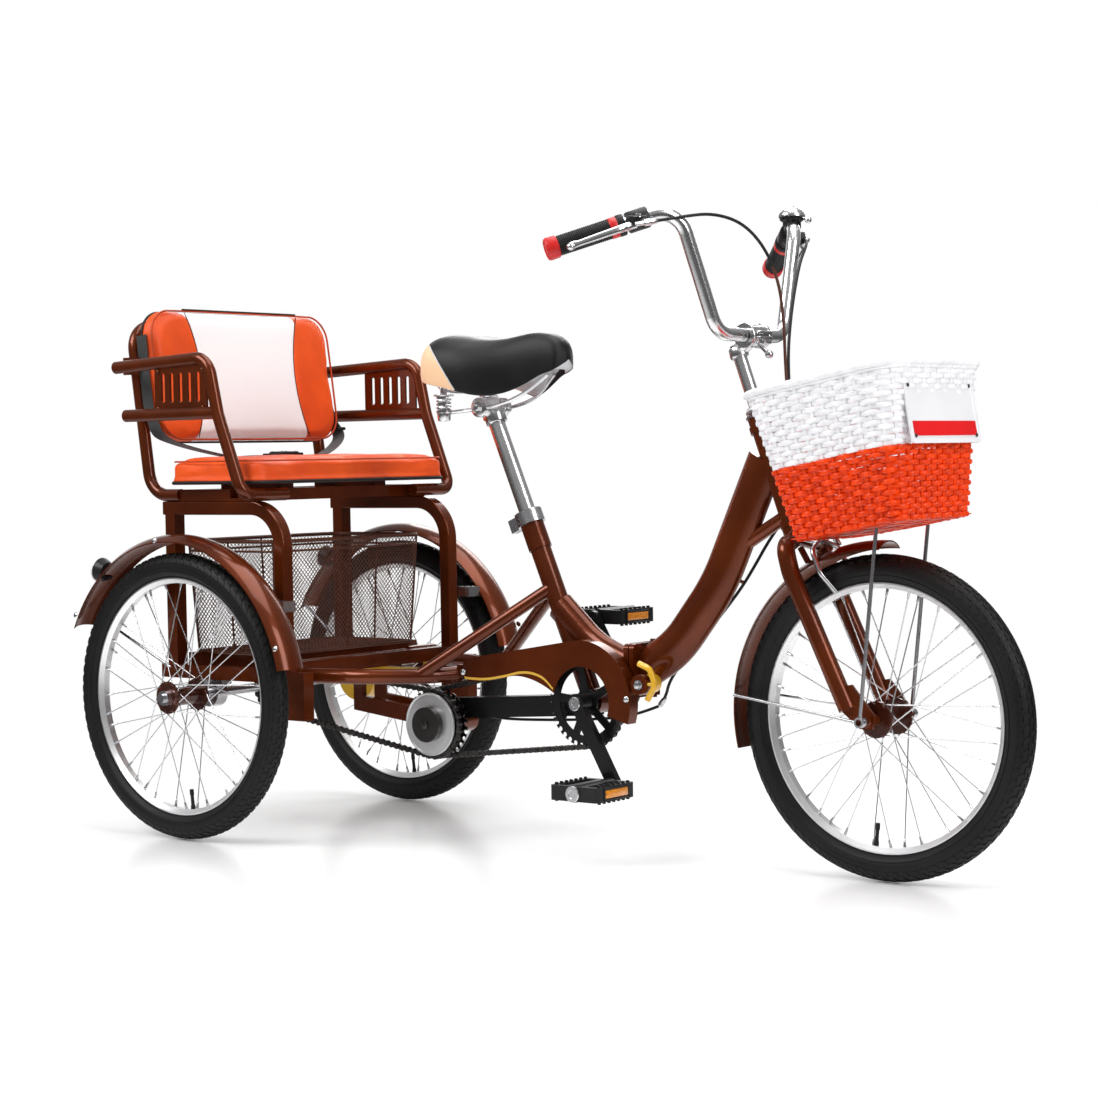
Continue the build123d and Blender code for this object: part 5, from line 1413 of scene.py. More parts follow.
def make_wicker_basket():
    """Woven cane basket: stakes, rows in two colours, a rolled rim, a slatted floor and a blank plate."""
    border = RED_ROWS / WICKER_ROWS
    reds, whites = [], []
    for row in range(WICKER_ROWS):
        level = (row + 0.5) / WICKER_ROWS * 0.972
        if row < RED_ROWS:
            reds.append(woven_row("red row", level, row % 2, 0.0039, 0.0024, 0.0028, 250))
        else:
            whites.append(woven_row("white row", level, row % 2, 0.00375, 0.0014, 0.002, 250))
    step = 0.972 * border
    for i in range(STAKES):
        share = i / STAKES
        for offset in (-0.0016, 0.0016) if i % 2 else (0.0,):
            place = share + offset
            reds.append(stake_strip(0.0, step, place, 0.0036, 0.0024))
        whites.append(stake_strip(step, 0.985, share, 0.006, 0.0016))
    finish_piece(gather("basket_lower_cane", reds), "steered", "red_cane", "wicker", angle=50)

    for name, level, sides, drop, outer, inner, tall, round_off in (
        ("rim", 1.0, 16, 0.0055, 0.0066, 0.0042, 0.0056, 0.8), ("lip", 0.975, 10, 0.006, 0.003, 0.003, 0.0034, 1.0),
    ):
        ring = added(
            name, bpy.ops.mesh.primitive_torus_add, major_segments=192, minor_segments=sides, major_radius=0.1,
            minor_radius=0.01
        )
        for i, spot in enumerate(ring.data.vertices):
            step, turn = divmod(i, sides)
            angle = turn * 2 * math.pi / sides
            across = math.cos(angle)
            centre, out = wicker_spot(level, step / 192)
            wide = (outer if across > 0 else inner) * math.copysign(abs(across) ** round_off, across)
            spot.co = centre + out * wide + WICKER_RISE * (tall * math.sin(angle) - drop)
        whites.append(ring)
    finish_piece(gather("basket_upper_cane", whites), "steered", "white_cane", "wicker", "front_basket", angle=50)

    low, lx, ly, corner = WICKER_LOW
    tilt = Matrix.Rotation(-WICKER_TILT, 4, "Y")
    lift = tilt @ Vector((0, 0, 0.0035))
    floor = [slab("floor sheet", (lx - 0.01, ly - 0.01, 0.0016), Matrix.Translation(low + lift) @ tilt, 0.0005, 1)]
    for i in range(9):
        share, weave = (i - 4) / 4.4 / 2, 0.001 * (-1) ** i
        ease = 2 * (corner * 0.45 if abs(i - 4) > 3 else 0.002)
        for size, spot in (
            ((0.0085, ly - ease, 0.0022), (share * lx, 0, weave)), (
                (lx - ease, 0.0085, 0.0022), (0, share * ly, -weave)
            ),
        ):
            place = Matrix.Translation(low + lift + tilt @ Vector(spot)) @ tilt
            floor.append(slab("floor slat", size, place, 0.0006, 1))
    finish_piece(gather("basket_floor_slats", floor), "steered", "red_cane", "wicker")

    front, out = wicker_spot(0.665, 0.0, 0.0072)
    place = stand(front, out, LEFT)
    plate = added("basket_plate", bpy.ops.mesh.primitive_cube_add, size=1, scale=(0.204, 0.098, 0.003))
    choose_edges(plate, lambda a, b: abs(a.z - b.z) > 0.001)
    bpy.ops.mesh.bevel(offset=0.008, segments=5)
    object_mode()
    choose(plate, lambda face: face.normal.z > 0.9)
    bpy.ops.mesh.inset(thickness=0.0075, depth=0)
    bpy.ops.mesh.inset(thickness=0.0008, depth=-0.0007)
    object_mode()
    apply_modifier(plate, "BEVEL", width=0.0005, segments=2, limit_method="ANGLE", angle_limit=0.6)
    plate = put("basket_plate", plate, place)
    bpy.ops.object.shade_flat()
    finish_piece(plate, "steered", "white_paint", "paint", angle=None)
    down = -1 if (place.to_3x3() @ Vector((0, 1, 0))).z > 0 else 1
    spot = place @ Vector((0, down * 0.0268, 0.0012))
    finish_piece(
        slab("basket_plate_band", (0.186, 0.022, 0.0008), stand(spot, out, LEFT), 0.0002, 1), "steered",
        "red_paint", "paint", angle=30
    )
    rivet = dome_model(0.0032, 0.0016)
    spots = [stand(place @ Vector((sx * 0.09, sy * 0.0375, 0.0009)), out, LEFT) for sx in (-1, 1) for sy in (-1, 1)]
    finish_piece(copies("basket_plate_rivets", rivet, spots), "steered", "dark_steel", "steel")

    bolts = []
    for share, level in ((0.555, 0.62), (0.445, 0.62), (0.555, 0.3), (0.445, 0.3)):
        spot, away = wicker_spot(level, share, 0.004)
        bolts.append(stand(spot, away, UP))
    finish_piece(
        copies("basket_wall_bolts", bolt_model(0.0055, 0.005, 6, 0.01), bolts), "steered", "steel", "steel",
        angle=30
    )


MESH_FOOT = (at(22, 0, 318), 0.205, 0.366, 0.018)
MESH_RIM = (at(22, 0, 518), 0.228, 0.39, 0.022)
MESH_PARTS = loop_parts(MESH_FOOT, MESH_RIM)


def mesh_spot(level, share):
    """Point on the wall of the rear wire basket."""
    (low, lx, ly, lr), (high, hx, hy, hr) = MESH_FOOT, MESH_RIM
    blend = lambda a, b: a + (b - a) * level
    (x, y), _ = rounded_loop(
        blend(lx, hx) / 2 - 0.0015, blend(ly, hy) / 2 - 0.0015, blend(lr, hr), share, MESH_PARTS
    )
    return low.lerp(high, level) + Vector((x, y, 0))


def diamonds(piece, thick):
    """Cuts each square of a grid into four, takes the square's edges away, and thickens the rest to wire."""
    pick(piece)
    bpy.ops.object.mode_set(mode="EDIT")
    bpy.ops.mesh.select_all(action="SELECT")
    count = len(piece.data.vertices)
    bpy.ops.mesh.poke()
    object_mode()
    mesh = piece.data
    faces_at = {}
    for face in mesh.polygons:
        for key in face.edge_keys:
            faces_at.setdefault(key, []).append(face.index)
    bpy.ops.object.mode_set(mode="EDIT")
    bpy.ops.mesh.select_mode(type="EDGE")
    object_mode()
    for edge in mesh.edges:
        a, b = edge.vertices
        edge.select = a < count and b < count and len(faces_at[edge.key]) == 2
    for spot in mesh.vertices:
        spot.select = False
    for face in mesh.polygons:
        face.select = False
    bpy.ops.object.mode_set(mode="EDIT")
    bpy.ops.mesh.dissolve_edges(use_verts=False)
    object_mode()
    return apply_modifier(piece, "WIREFRAME", thickness=thick, use_even_offset=False, use_boundary=True)


def make_mesh_basket():
    """Wire basket under the bench: diamond mesh walls and floor with rolled rim and corner wires."""
    around, up = 132, 22
    wall = added(
        "wall mesh", bpy.ops.mesh.primitive_cylinder_add, vertices=around, radius=0.1, depth=0.2,
        end_fill_type="NOTHING"
    )
    choose_edges(wall, lambda a, b: abs(a.z - b.z) > 0.1)
    bpy.ops.mesh.subdivide(number_cuts=up - 1)
    object_mode()
    for spot in wall.data.vertices:
        share = math.atan2(spot.co.y, spot.co.x) / (2 * math.pi)
        level = spot.co.z / 0.2 + 0.5
        spot.co = mesh_spot(level, share)
    diamonds(wall, 0.0016)
    low, lx, ly, _ = MESH_FOOT
    drop_selection()
    bpy.ops.mesh.primitive_grid_add(x_subdivisions=23, y_subdivisions=41, size=1, location=low + UP * 0.0015)
    floor = bpy.context.object
    floor.scale = (lx - 0.008, ly - 0.008, 1)
    floor = newest("floor mesh")
    diamonds(floor, 0.0016)
    pieces = [wall, floor]
    for level, radius in ((0.0, 0.0024), (0.985, 0.003), (0.9, 0.002)):
        line = [mesh_spot(level, i / 64) for i in range(64)]
        pieces.append(wire("ring wire", line, radius, closed=True, order=2, steps=1, sides=8))
    marks = MESH_PARTS
    for share in (0.0, 0.5, *((marks[i] + marks[i + 1]) / 2 for i in (1, 2, 3, 5, 6, 7))):
        pieces.append(bar("upright wire", mesh_spot(0.0, share), mesh_spot(0.985, share), 0.0018, 8))
    for i in range(3):
        y = (i - 1) * ly * 0.3
        pieces.append(
            bar(
                "floor wire", low + Vector((-lx / 2 + 0.003, y, 0)), low + Vector((lx / 2 - 0.003, y, 0)), 0.0022, 8
            )
        )
    finish_piece(gather("rear_wire_basket", pieces), "rear_body", "mesh", "wire_mesh", "mesh_basket", angle=50)


# ---------------------------------------------------------------- belt and cables
def flowing(points, steps):
    """Points on a smooth line through given points."""
    spots = [Vector(p) for p in points]
    ends = [spots[0] * 2 - spots[1]] + spots + [spots[-1] * 2 - spots[-2]]
    line = []
    for i in range(1, len(ends) - 2):
        a, b, c, d = ends[i - 1 : i + 3]
        for step in range(steps):
            t = step / steps
            line.append(
                0.5 * (2 * b + (c - a) * t + (2 * a - 5 * b + 4 * c - d) * t**2 + (3 * b - a - 3 * c + d) * t**3)
            )
    return line + [spots[-1]]


def strap(name, line, wide_dirs, wide, thick):
    """Flat strap along a line, with a UV map in metres along and across it."""
    count = len(line)
    piece = added(name, bpy.ops.mesh.primitive_grid_add, x_subdivisions=count - 1, y_subdivisions=3, size=1)
    reach, lengths = 0.0, [0.0]
    for a, b in zip(line, line[1:]):
        reach += (b - a).length
        lengths.append(reach)
    for i, spot in enumerate(piece.data.vertices):
        across, along = divmod(i, count)
        share = across / 3 - 0.5
        spot.co = line[along] + wide_dirs[along] * (share * wide)
    sheet = piece.data.uv_layers.active
    for loop in piece.data.loops:
        across, along = divmod(loop.vertex_index, count)
        sheet.data[loop.index].uv = (lengths[along], across / 3 * wide)
    apply_modifier(piece, "SOLIDIFY", thickness=thick, offset=0.0)
    pick(piece)
    return piece


def make_belt():
    """Lap belt: webbing down both edges of the backrest and across the cushion, with a buckle."""
    low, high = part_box("lap_belt")
    edge = high.y - 0.0022
    half = [(-150, 884), (-141, 800), (-126, 736)]
    route = [at(x, 1000 * edge - (0 if z < 790 else 1.8), z) for x, z in half]
    route += [at(-98, 221, 697), at(-54, 132, 1000 * low.z + 5), at(-46, 70, 1000 * low.z + 1.2)]
    mirrored = [Vector((p.x, -p.y, p.z)) for p in reversed(route)]
    line = flowing(route + mirrored, 8)
    cushion = bpy.data.objects["bench_cushion_cover"]
    wides = []
    for i, spot in enumerate(line):
        run = (line[min(i + 1, len(line) - 1)] - line[max(i - 1, 0)]).normalized()
        wides.append((AHEAD - run * run.x).normalized())
    for spot in line:
        if abs(spot.y) < 0.2:
            hit, where, _, _ = cushion.ray_cast(Vector((spot.x, spot.y, spot.z + 0.1)), -UP)
            if hit:
                spot.z = max(spot.z, where.z + 0.0016)
    finish_piece(
        strap("lap_belt_webbing", line, wides, 0.025, 0.0016), "rear_body", "webbing", "webbing", "lap_belt",
        angle=60
    )
    hem = []
    middle = min(line, key=lambda p: abs(p.y - 0.012))
    seat = Matrix.Translation(middle + UP * 0.004)
    shell = slab("buckle", (0.036, 0.046, 0.01), seat, 0.0035, 3)
    choose(shell, lambda face: face.normal.z > 0.9)
    bpy.ops.mesh.inset(thickness=0.006, depth=-0.0012)
    object_mode()
    hem.append(shell)
    hem.append(slab("buckle bar", (0.034, 0.005, 0.007), seat @ Matrix.Translation((0, 0.031, -0.001)), 0.0015, 2))
    hem.append(
        slab("buckle tongue", (0.028, 0.022, 0.005), seat @ Matrix.Translation((0, -0.031, -0.001)), 0.0015, 2)
    )
    hem.append(slab("slider", (0.034, 0.02, 0.006), Matrix.Translation(line[20] + UP * 0.001), 0.0018, 2))
    finish_piece(gather("lap_belt_buckle", hem), "rear_body", "plastic", "black_plastic")


RIGHT_ROUTE = (
    (968, -221, 1004), (1000, -172, 1014), (1017, -117, 1021), (1035, -62, 1008), (1050, -22, 968), (1058, 1, 914),
    (1061, 7, 855), (1061, 9, 795), (1063, 12, 735), (1070, 15, 678), (1084, 17, 624), (1104, 20, 574),
    (1122, 28, 540), (1136, 39, 510),
)
LEFT_ROUTE = (
    (968, 221, 1004), (995, 180, 992), (1015, 128, 962), (1029, 90, 918), (1041, 57, 866), (1052, 31, 810),
    (1060, 21, 750), (1065, 23, 692), (1068, 28, 640), (1067, 33, 598), (1063, 34, 574),
)
FRAME_ROUTE = (
    (1055, 34, 560), (1036, 31, 546), (1011, 27, 512), (990, 24, 478), (966, 23, 444), (936, 23, 410),
    (902, 24, 375), (866, 27, 341), (832, 32, 309), (807, 38, 281), (798, 42, 258), (786, 42, 243)
)
REAR_ROUTE = (
    (782, 42, 241), (754, 37, 230), (718, 22, 221), (672, 8, 217), (612, 5, 213), (552, 6, 210), (496, 16, 207),
    (444, 35, 205), (392, 55, 206), (336, 76, 212), (280, 99, 222), (224, 124, 234), (168, 148, 244),
    (112, 164, 250), (45, 170, 254)
)


def make_cables():
    """Brake cables on their routes, sleeved where they run beside the frame, with end caps and guides."""
    right = wire("front_brake_cable", [at(*p) for p in RIGHT_ROUTE], 0.0025, sides=10, steps=8)
    left = wire("rear_brake_cable_upper", [at(*p) for p in LEFT_ROUTE], 0.0025, sides=10, steps=8)
    both = gather("brake_cables_at_the_bar", [right, left])
    finish_piece(both, "steered", "rubber", "cable_cover", "control_cables", angle=60)
    both.data.materials.append(FINISHES["brown_sleeve"])
    for face in both.data.polygons:
        x, y, z = face.center
        near_right = y < 0.0165 or z < 0.59 and x > REAR.x + 1.09
        face.material_index = 1 if z < 0.94 and near_right and not (z > 0.75 and y > 0.0135) else 0
    for name, route, body, node in (
        ("rear_brake_cable_middle", FRAME_ROUTE, "front_body", "frame_cable"),
        ("rear_brake_cable_lower", REAR_ROUTE, "rear_body", "rear_cable"),
    ):
        finish_piece(
            wire(name, [at(*p) for p in route], 0.0025, sides=10, steps=8), body, "rubber", "cable_cover", node,
            angle=60
        )
    for name, route, body, spots in (
        ("cable_end_caps_at_the_bar", RIGHT_ROUTE, "steered", ((0, 1), (13, 12))),
        ("cable_end_cap_at_the_left_lever", LEFT_ROUTE, "steered", ((0, 1), (10, 9))),
        ("cable_guide_on_the_frame", FRAME_ROUTE, "front_body", ((0, 1), (11, 10))),
        ("cable_guide_on_the_rear_frame", REAR_ROUTE, "rear_body", ((14, 13),)),
    ):
        caps = []
        for here, there in spots:
            start, nearby = at(*route[here]), at(*route[there])
            run = (nearby - start).normalized()
            out = run.orthogonal()
            caps.append(spun("cap", start, run, out, 16))
        finish_piece(gather(name, caps), body, "steel", "steel")


# ---------------------------------------------------------------- chains and pedal drive
def chain_spots(near, far, y, near_r, far_r, pitch=0.0127):
    """Places of a chain's pins on its closed loop, each with the direction of its run."""
    dx, dz = far.x - near.x, far.z - near.z
    centres = math.hypot(dx, dz)
    line_angle = math.atan2(dz, dx)
    lift = math.asin((near_r - far_r) / centres)
    run = centres * math.cos(lift)
    top, bottom = line_angle + math.pi / 2 - lift, line_angle - math.pi / 2 + lift
    near_arc, far_arc = (math.pi + 2 * lift) * near_r, (math.pi - 2 * lift) * far_r
    length = 2 * run + near_arc + far_arc
    count = 2 * round(length / pitch / 2)
    spots = []
    for i in range(count):
        s = length * i / count
        if s < run:
            angle = line_angle - lift
            x = near.x + near_r * math.cos(top) + s * math.cos(angle)
            z = near.z + near_r * math.sin(top) + s * math.sin(angle)
        elif s < run + far_arc:
            turn = top - (s - run) / far_r
            x, z = far.x + far_r * math.cos(turn), far.z + far_r * math.sin(turn)
        elif s < 2 * run + far_arc:
            angle = line_angle + lift + math.pi
            back = s - run - far_arc
            x = far.x + far_r * math.cos(bottom) + back * math.cos(angle)
            z = far.z + far_r * math.sin(bottom) + back * math.sin(angle)
        else:
            turn = bottom - (s - 2 * run - far_arc) / near_r
            x, z = near.x + near_r * math.cos(turn), near.z + near_r * math.sin(turn)
        spots.append(Vector((x, y, z)))
    return spots


def link_plate(round_r, waist, thick, side_y, pitch=0.0127):
    """Two side plates of one link, round at both pins and narrow between them, either side of its middle."""
    plates = []
    for side in (-1, 1):
        plate = added(
            "plate", bpy.ops.mesh.primitive_cylinder_add, vertices=28, radius=1, depth=thick,
            rotation=(math.pi / 2, 0, 0), location=(0, side * side_y, 0)
        )
        for spot in plate.data.vertices:
            angle = math.atan2(spot.co.z, spot.co.x)
            end = math.copysign(1, math.cos(angle))
            tip = math.atan2(math.sin(angle), abs(math.cos(angle)))
            if abs(tip) > 1.5:
                spot.co.x, spot.co.z = 0, math.copysign(waist, tip)
            else:
                turn = tip * 1.62
                spot.co.x, spot.co.z = end * (pitch / 2 + round_r * math.cos(turn)), round_r * math.sin(turn)
        plates.append(plate)
    return gather("link", plates)


def make_chain(name, near, far, y, near_r, far_r, node, body):
    """Roller chain: outer and inner links in turn, with rollers and riveted pins."""
    spots = chain_spots(near, far, y, near_r, far_r)
    outer, inner, rollers = [], [], []
    for i, spot in enumerate(spots):
        after = spots[(i + 1) % len(spots)]
        place = stand((spot + after) / 2, (after - spot).cross(LEFT), after - spot)
        (outer if i % 2 else inner).append(place)
        rollers.append(stand(spot, LEFT, after - spot))
    parts = [
        copies("outer links", link_plate(0.0048, 0.0028, 0.001, 0.004), outer),
        copies("inner links", link_plate(0.0049, 0.0028, 0.001, 0.0027), inner),
    ]
    roller = added("roller", bpy.ops.mesh.primitive_cylinder_add, vertices=14, radius=0.0042, depth=0.0046)
    apply_modifier(roller, "BEVEL", width=0.0004, segments=1, limit_method="ANGLE", angle_limit=0.6)
    parts.append(copies("rollers", roller, rollers))
    pin = added("pin", bpy.ops.mesh.primitive_cylinder_add, vertices=10, radius=0.0022, depth=0.0104)
    apply_modifier(pin, "BEVEL", width=0.0005, segments=1, limit_method="ANGLE", angle_limit=0.6)
    parts.append(copies("pins", pin, rollers))
    finish_piece(gather(name, parts), body, "dark_steel", "steel", node)


def make_chains():
    pitch_r = lambda teeth: 0.0127 / 2 / math.sin(math.pi / teeth)
    make_chain("front_roller_chain", CRANK, JACK, -0.046, pitch_r(36), pitch_r(28), "front_chain", "rear_body")
    make_chain("rear_roller_chain", REAR, JACK, -0.066, pitch_r(21), pitch_r(28), "rear_chain", "rear_body")


def make_pedal_trim():
    """Amber reflectors, tread pips and bright end caps of the pedals, and the caps of the cranks."""
    for name, side in (("right", -1), ("left", 1)):
        low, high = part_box(name + "_pedal")
        middle = (Vector(low) + Vector(high)) / 2
        body = name + "_pedal_body"
        lenses = []
        for end in (-1, 1):
            face = Vector((high.x if end > 0 else low.x, middle.y, middle.z))
            lenses.append(
                slab(
                    "reflector", (0.058, 0.013, 0.003), stand(face + AHEAD * end * 0.0002, AHEAD * end, LEFT),
                    0.0012, 2
                )
            )
        finish_piece(gather(name + "_pedal_reflectors", lenses), body, "reflector", "lamp_lens", angle=30)
        rims, pips = [], []
        for end in (-1, 1):
            face = Vector((high.x if end > 0 else low.x, middle.y, middle.z))
            for dy, dz, sy, sz in (
                (0, 0.0085, 0.066, 0.003), (0, -0.0085, 0.066, 0.003), (0.0315, 0, 0.003, 0.02),
                (-0.0315, 0, 0.003, 0.02)
            ):
                rims.append(
                    slab("frame", (sy, sz, 0.004), stand(face + Vector((0, dy, dz)), AHEAD * end, LEFT), 0.0008, 1)
                )
            for face_side in (-1, 1):
                for i in range(7):
                    spot = Vector(
                        (middle.x + end * 0.0425, middle.y + (i - 3) * 0.0125, middle.z + face_side * 0.0118)
                    )
                    pips.append(stand(spot, UP * face_side, AHEAD))
        rims.append(copies("pips", bolt_model(0.003, 0.003, 10), pips))
        finish_piece(gather(name + "_pedal_treads", rims), body, "plastic", "black_plastic")
        out = LEFT * side
        cap_at = Vector((middle.x, high.y if side > 0 else low.y, middle.z)) - out * 0.0005
        cap = spun(name + "_pedal_end_cap", cap_at, out, AHEAD, 28, outline=OUTLINES["pedal end cap"])
        finish_piece(cap, body, "steel", "steel", angle=30)
    nuts = []
    for side in (-1, 1):
        spot = CRANK + LEFT * side * 0.0775
        nuts.append(spun("crank cap", spot, LEFT * side, AHEAD, 24))
    finish_piece(gather("crank_bolt_caps", nuts), "cranks", "steel", "steel", angle=30)


# ---------------------------------------------------------------- handlebar fittings
def along_bar(side, share):
    """Point on the bar's grip leg, from the bend at 0 to the end at 1."""
    bend, end = at(984, side * 164, 1030), at(846, side * 304, 968)
    return bend.lerp(end, share)


def make_grips():
    """Grips: ribbed sleeves with red rings at both ends."""
    black, red = [], []
    for side in (-1, 1):
        inner, outer = along_bar(side, 0.42), along_bar(side, 1.03)
        run = (outer - inner).normalized()
        long = 1000 * (outer - inner).length
        out = run.cross(UP).normalized()
        steps = 26
        outline = [(0, 11.2), (0, 15.8), (1.2, 16.8), (10, 16.8), (11.2, 15.8)]
        rib = (long - 44) / steps
        for i in range(steps):
            a = 24 + rib * i
            outline += [(a, 14.8), (a + rib * 0.25, 15.6), (a + rib * 0.7, 15.6), (a + rib * 0.95, 14.8)]
        outline += [(long - 19, 15.2), (long - 19, 11.2)]
        black.append(spun("grip", inner, run, out, 36, outline))
        red.append(spun("grip ring", inner, run, out, 36))
        end = [
            (long - 19.2, 11.2), (long - 19.2, 16), (long - 17.5, 17.4), (long - 4, 17.8), (long - 0.5, 16.5),
            (long + 0.5, 14), (long - 1.2, 12), (long - 1.2, 0)
        ]
        red.append(spun("end ring", inner, run, out, 36, end))
    finish_piece(gather("grip_sleeves", black), "steered", "rubber", "black_plastic", "grips", angle=45)
    finish_piece(gather("grip_red_rings", red), "steered", "red_plastic", "black_plastic", angle=35)


def make_levers():
    """Brake levers: clamp housings, cable barrels, and bright blades with ball ends."""
    dark, bright = [], []
    for side in (-1, 1):
        clamp = along_bar(side, 0.33)
        run = (along_bar(side, 1) - along_bar(side, 0)).normalized()
        out = run.cross(UP).normalized()
        if out.x < 0:
            out = -out
        dark.append(spun("clamp", clamp, run, out, 36))
        pivot = clamp + out * 0.024 - UP * 0.006
        dark.append(
            slab("lever housing", (0.02, 0.034, 0.02), stand(clamp + out * 0.0165 - UP * 0.004, UP, out), 0.005, 4)
        )
        tip = along_bar(side, 0.86) + out * 0.034 - UP * 0.008
        path = [
            pivot - run * 0.01, pivot + run * 0.012, pivot.lerp(tip, 0.3) + out * 0.004,
            pivot.lerp(tip, 0.7) + out * 0.001, tip
        ]
        spots = flowing(path, 6)
        blade = added(
            "blade", bpy.ops.mesh.primitive_cylinder_add, vertices=12, radius=1, depth=1, end_fill_type="NGON"
        )
        choose_edges(blade, lambda a, b: abs(a.z - b.z) > 0.5)
        bpy.ops.mesh.subdivide(number_cuts=len(spots) - 2)
        object_mode()
        levels = sorted({round(spot.co.z, 4) for spot in blade.data.vertices})
        for spot in blade.data.vertices:
            i = min(range(len(levels)), key=lambda k: abs(levels[k] - spot.co.z))
            share = i / (len(levels) - 1)
            i = min(int(round(share * (len(spots) - 1))), len(spots) - 1)
            wide = 0.0075 - 0.003 * share + (0.0016 if share > 0.93 else 0)
            deep = 0.003 - 0.0006 * share
            spot.co = spots[i] + UP * spot.co.y * wide + out * spot.co.x * deep
        bright.append(blade)
        ball = added(
            "ball end", bpy.ops.mesh.primitive_uv_sphere_add, segments=20, ring_count=12, radius=0.0066,
            location=tip
        )
        for spot in ball.data.vertices:
            spot.co = tip + (spot.co - tip) * (0.9 if spot.co.z > tip.z else 1.0)
        bright.append(ball)
        pin = bolt_model(0.0046, 0.004, 6, 0.007)
        bright.append(put("pivot bolt", pin, stand(pivot + UP * 0.0085, UP, out)))
        barrel_at = at(*(RIGHT_ROUTE if side < 0 else LEFT_ROUTE)[0])
        aim = (at(*(RIGHT_ROUTE if side < 0 else LEFT_ROUTE)[1]) - barrel_at).normalized()
        bright.append(spun("barrel", barrel_at, aim, aim.orthogonal(), 14))
    finish_piece(gather("brake_lever_housings", dark), "steered", "plastic", "black_plastic", "brake_levers")
    finish_piece(gather("brake_lever_blades", bright), "steered", "chrome", "chrome")


def make_bell():
    """Bell: chromed dome on a black base and clamp, with a thumb striker."""
    spot = along_bar(1, 0.16)
    base = spun("bell base", spot, UP, AHEAD, 36)
    strap_run = (along_bar(1, 1) - along_bar(1, 0)).normalized()
    band = spun("bell clamp", spot, strap_run, UP, 32)
    finish_piece(
        gather("bell_base_and_clamp", [base, band]), "steered", "plastic", "black_plastic", "bell", angle=35
    )
    dome = spun("bell dome", spot, UP, AHEAD, 44)
    striker = bar(
        "striker", spot + UP * 0.0165 + AHEAD * 0.018, spot + UP * 0.012 + AHEAD * 0.034 - LEFT * 0.006, 0.0022, 10
    )
    knob = added(
        "striker knob", bpy.ops.mesh.primitive_uv_sphere_add, segments=20, ring_count=12, radius=0.0058,
        location=spot + UP * 0.0115 + AHEAD * 0.036 - LEFT * 0.007
    )
    for point in knob.data.vertices:
        point.co.z -= 0.0004
    finish_piece(gather("bell_dome_and_striker", [dome, striker, knob]), "steered", "chrome", "chrome", angle=50)


def make_bar_clamp():
    """Fittings of the stem: clamp lips with a cross bolt, and the expander bolt."""
    bright = []
    middle = at(1007, 0, 838)
    for side in (-1, 1):
        bright.append(spun("clamp collar", middle + LEFT * (0.018 if side > 0 else -0.0244), LEFT, UP, 36))
    for z in (0.0, 1.0):
        bright.append(
            slab(
                "clamp lip", (0.01, 0.034, 0.0055),
                stand(middle + AHEAD * 0.0215 + UP * (0.0042 if z else -0.0042), UP, AHEAD), 0.0015, 2
            )
        )
    for y in (-0.01, 0.01):
        bolt = bolt_model(0.0046, 0.005, 6, 0.0068)
        bright.append(put("clamp bolt", bolt, stand(middle + AHEAD * 0.0225 + LEFT * y - UP * 0.0068, -UP, AHEAD)))
    axis = -STEER if STEER.z < 0 else STEER
    top = at(1185 - (824 - 250) * math.tan(math.radians(20)), 0, 824)
    bright.append(spun("stem collar", top - axis * 0.004, axis, LEFT, 32))
    low = at(1185 - (712 - 250) * math.tan(math.radians(20)), 0, 712)
    bright.append(spun("steerer nut", low + axis * 0.0025, axis, LEFT, 6))
    finish_piece(gather("stem_clamp_fittings", bright), "steered", "chrome", "chrome", angle=35)
    knobs = []
    spot = middle + AHEAD * 0.03 - UP * 0.03
    knobs.append(bar("lever stub", middle + AHEAD * 0.012 - UP * 0.014, spot, 0.0032, 10))
    knob = added(
        "knob", bpy.ops.mesh.primitive_uv_sphere_add, segments=20, ring_count=12, radius=0.0066, location=spot
    )
    for point in knob.data.vertices:
        point.co.x += 0.0004
    knobs.append(knob)
    finish_piece(gather("stem_bolt_and_ball_nut", knobs), "steered", "steel", "steel")


# ---------------------------------------------------------------- lamps, stripe, latch and fasteners
def make_tail_lamps():
    """Tail lamps: black cups, pale rims and faceted red lenses with a raised middle."""
    cups, rims, lenses = [], [], []
    turn = math.radians(131)
    seat = Vector((math.cos(turn), 0, math.sin(turn))) * 0.283
    out = Vector((-1, 0, 0.2)).normalized()
    for side in (-1, 1):
        start = REAR + LEFT * side * TRACK_HALF + seat
        cups.append(spun("cup", start, out, LEFT, 40))
        rims.append(spun("rim", start, out, LEFT, 40))
        lens = [(20, 0), (20, 19.3)]
        for i in range(6):
            reach = 19.3 - 3.2 * i
            lens += [(22.2 + 0.8 * i, reach), (21.6 + 0.8 * i, reach - 1.6)]
        lens.append((26.8, 0))
        lenses.append(spun("lens", start, out, LEFT, 40, lens))
    finish_piece(gather("tail_lamp_cups", cups), "rear_body", "plastic", "black_plastic", "tail_lamps", angle=35)
    finish_piece(gather("tail_lamp_rims", rims), "rear_body", "white_paint", "paint", angle=35)
    finish_piece(gather("tail_lamp_lenses", lenses), "rear_body", "red_lens", "lamp_lens", angle=25)


def make_case_trim():
    """Yellow pinstripe along the chaincase's wavy lower edge, and its fixing bolts."""
    y = -61.2
    edge = flowing(
        [
            at(x, y, z) for x,
            z in ((452, 283), (466, 282), (500, 282.5), (540, 289), (572, 296), (600, 296), (624, 288), (643, 272))
        ],
        6
    )
    finish_piece(
        strap("chaincase_stripe", edge, [UP] * len(edge), 0.0042, 0.0007), "rear_body", "stripe", "yellow_paint",
        angle=60
    )
    spots = [stand(at(448, -60, 292), -LEFT, UP), stand(at(793, -60, 262), -LEFT, UP)]
    finish_piece(copies("chaincase_bolts", dome_model(0.0058, 0.0034), spots), "rear_body", "steel", "steel")


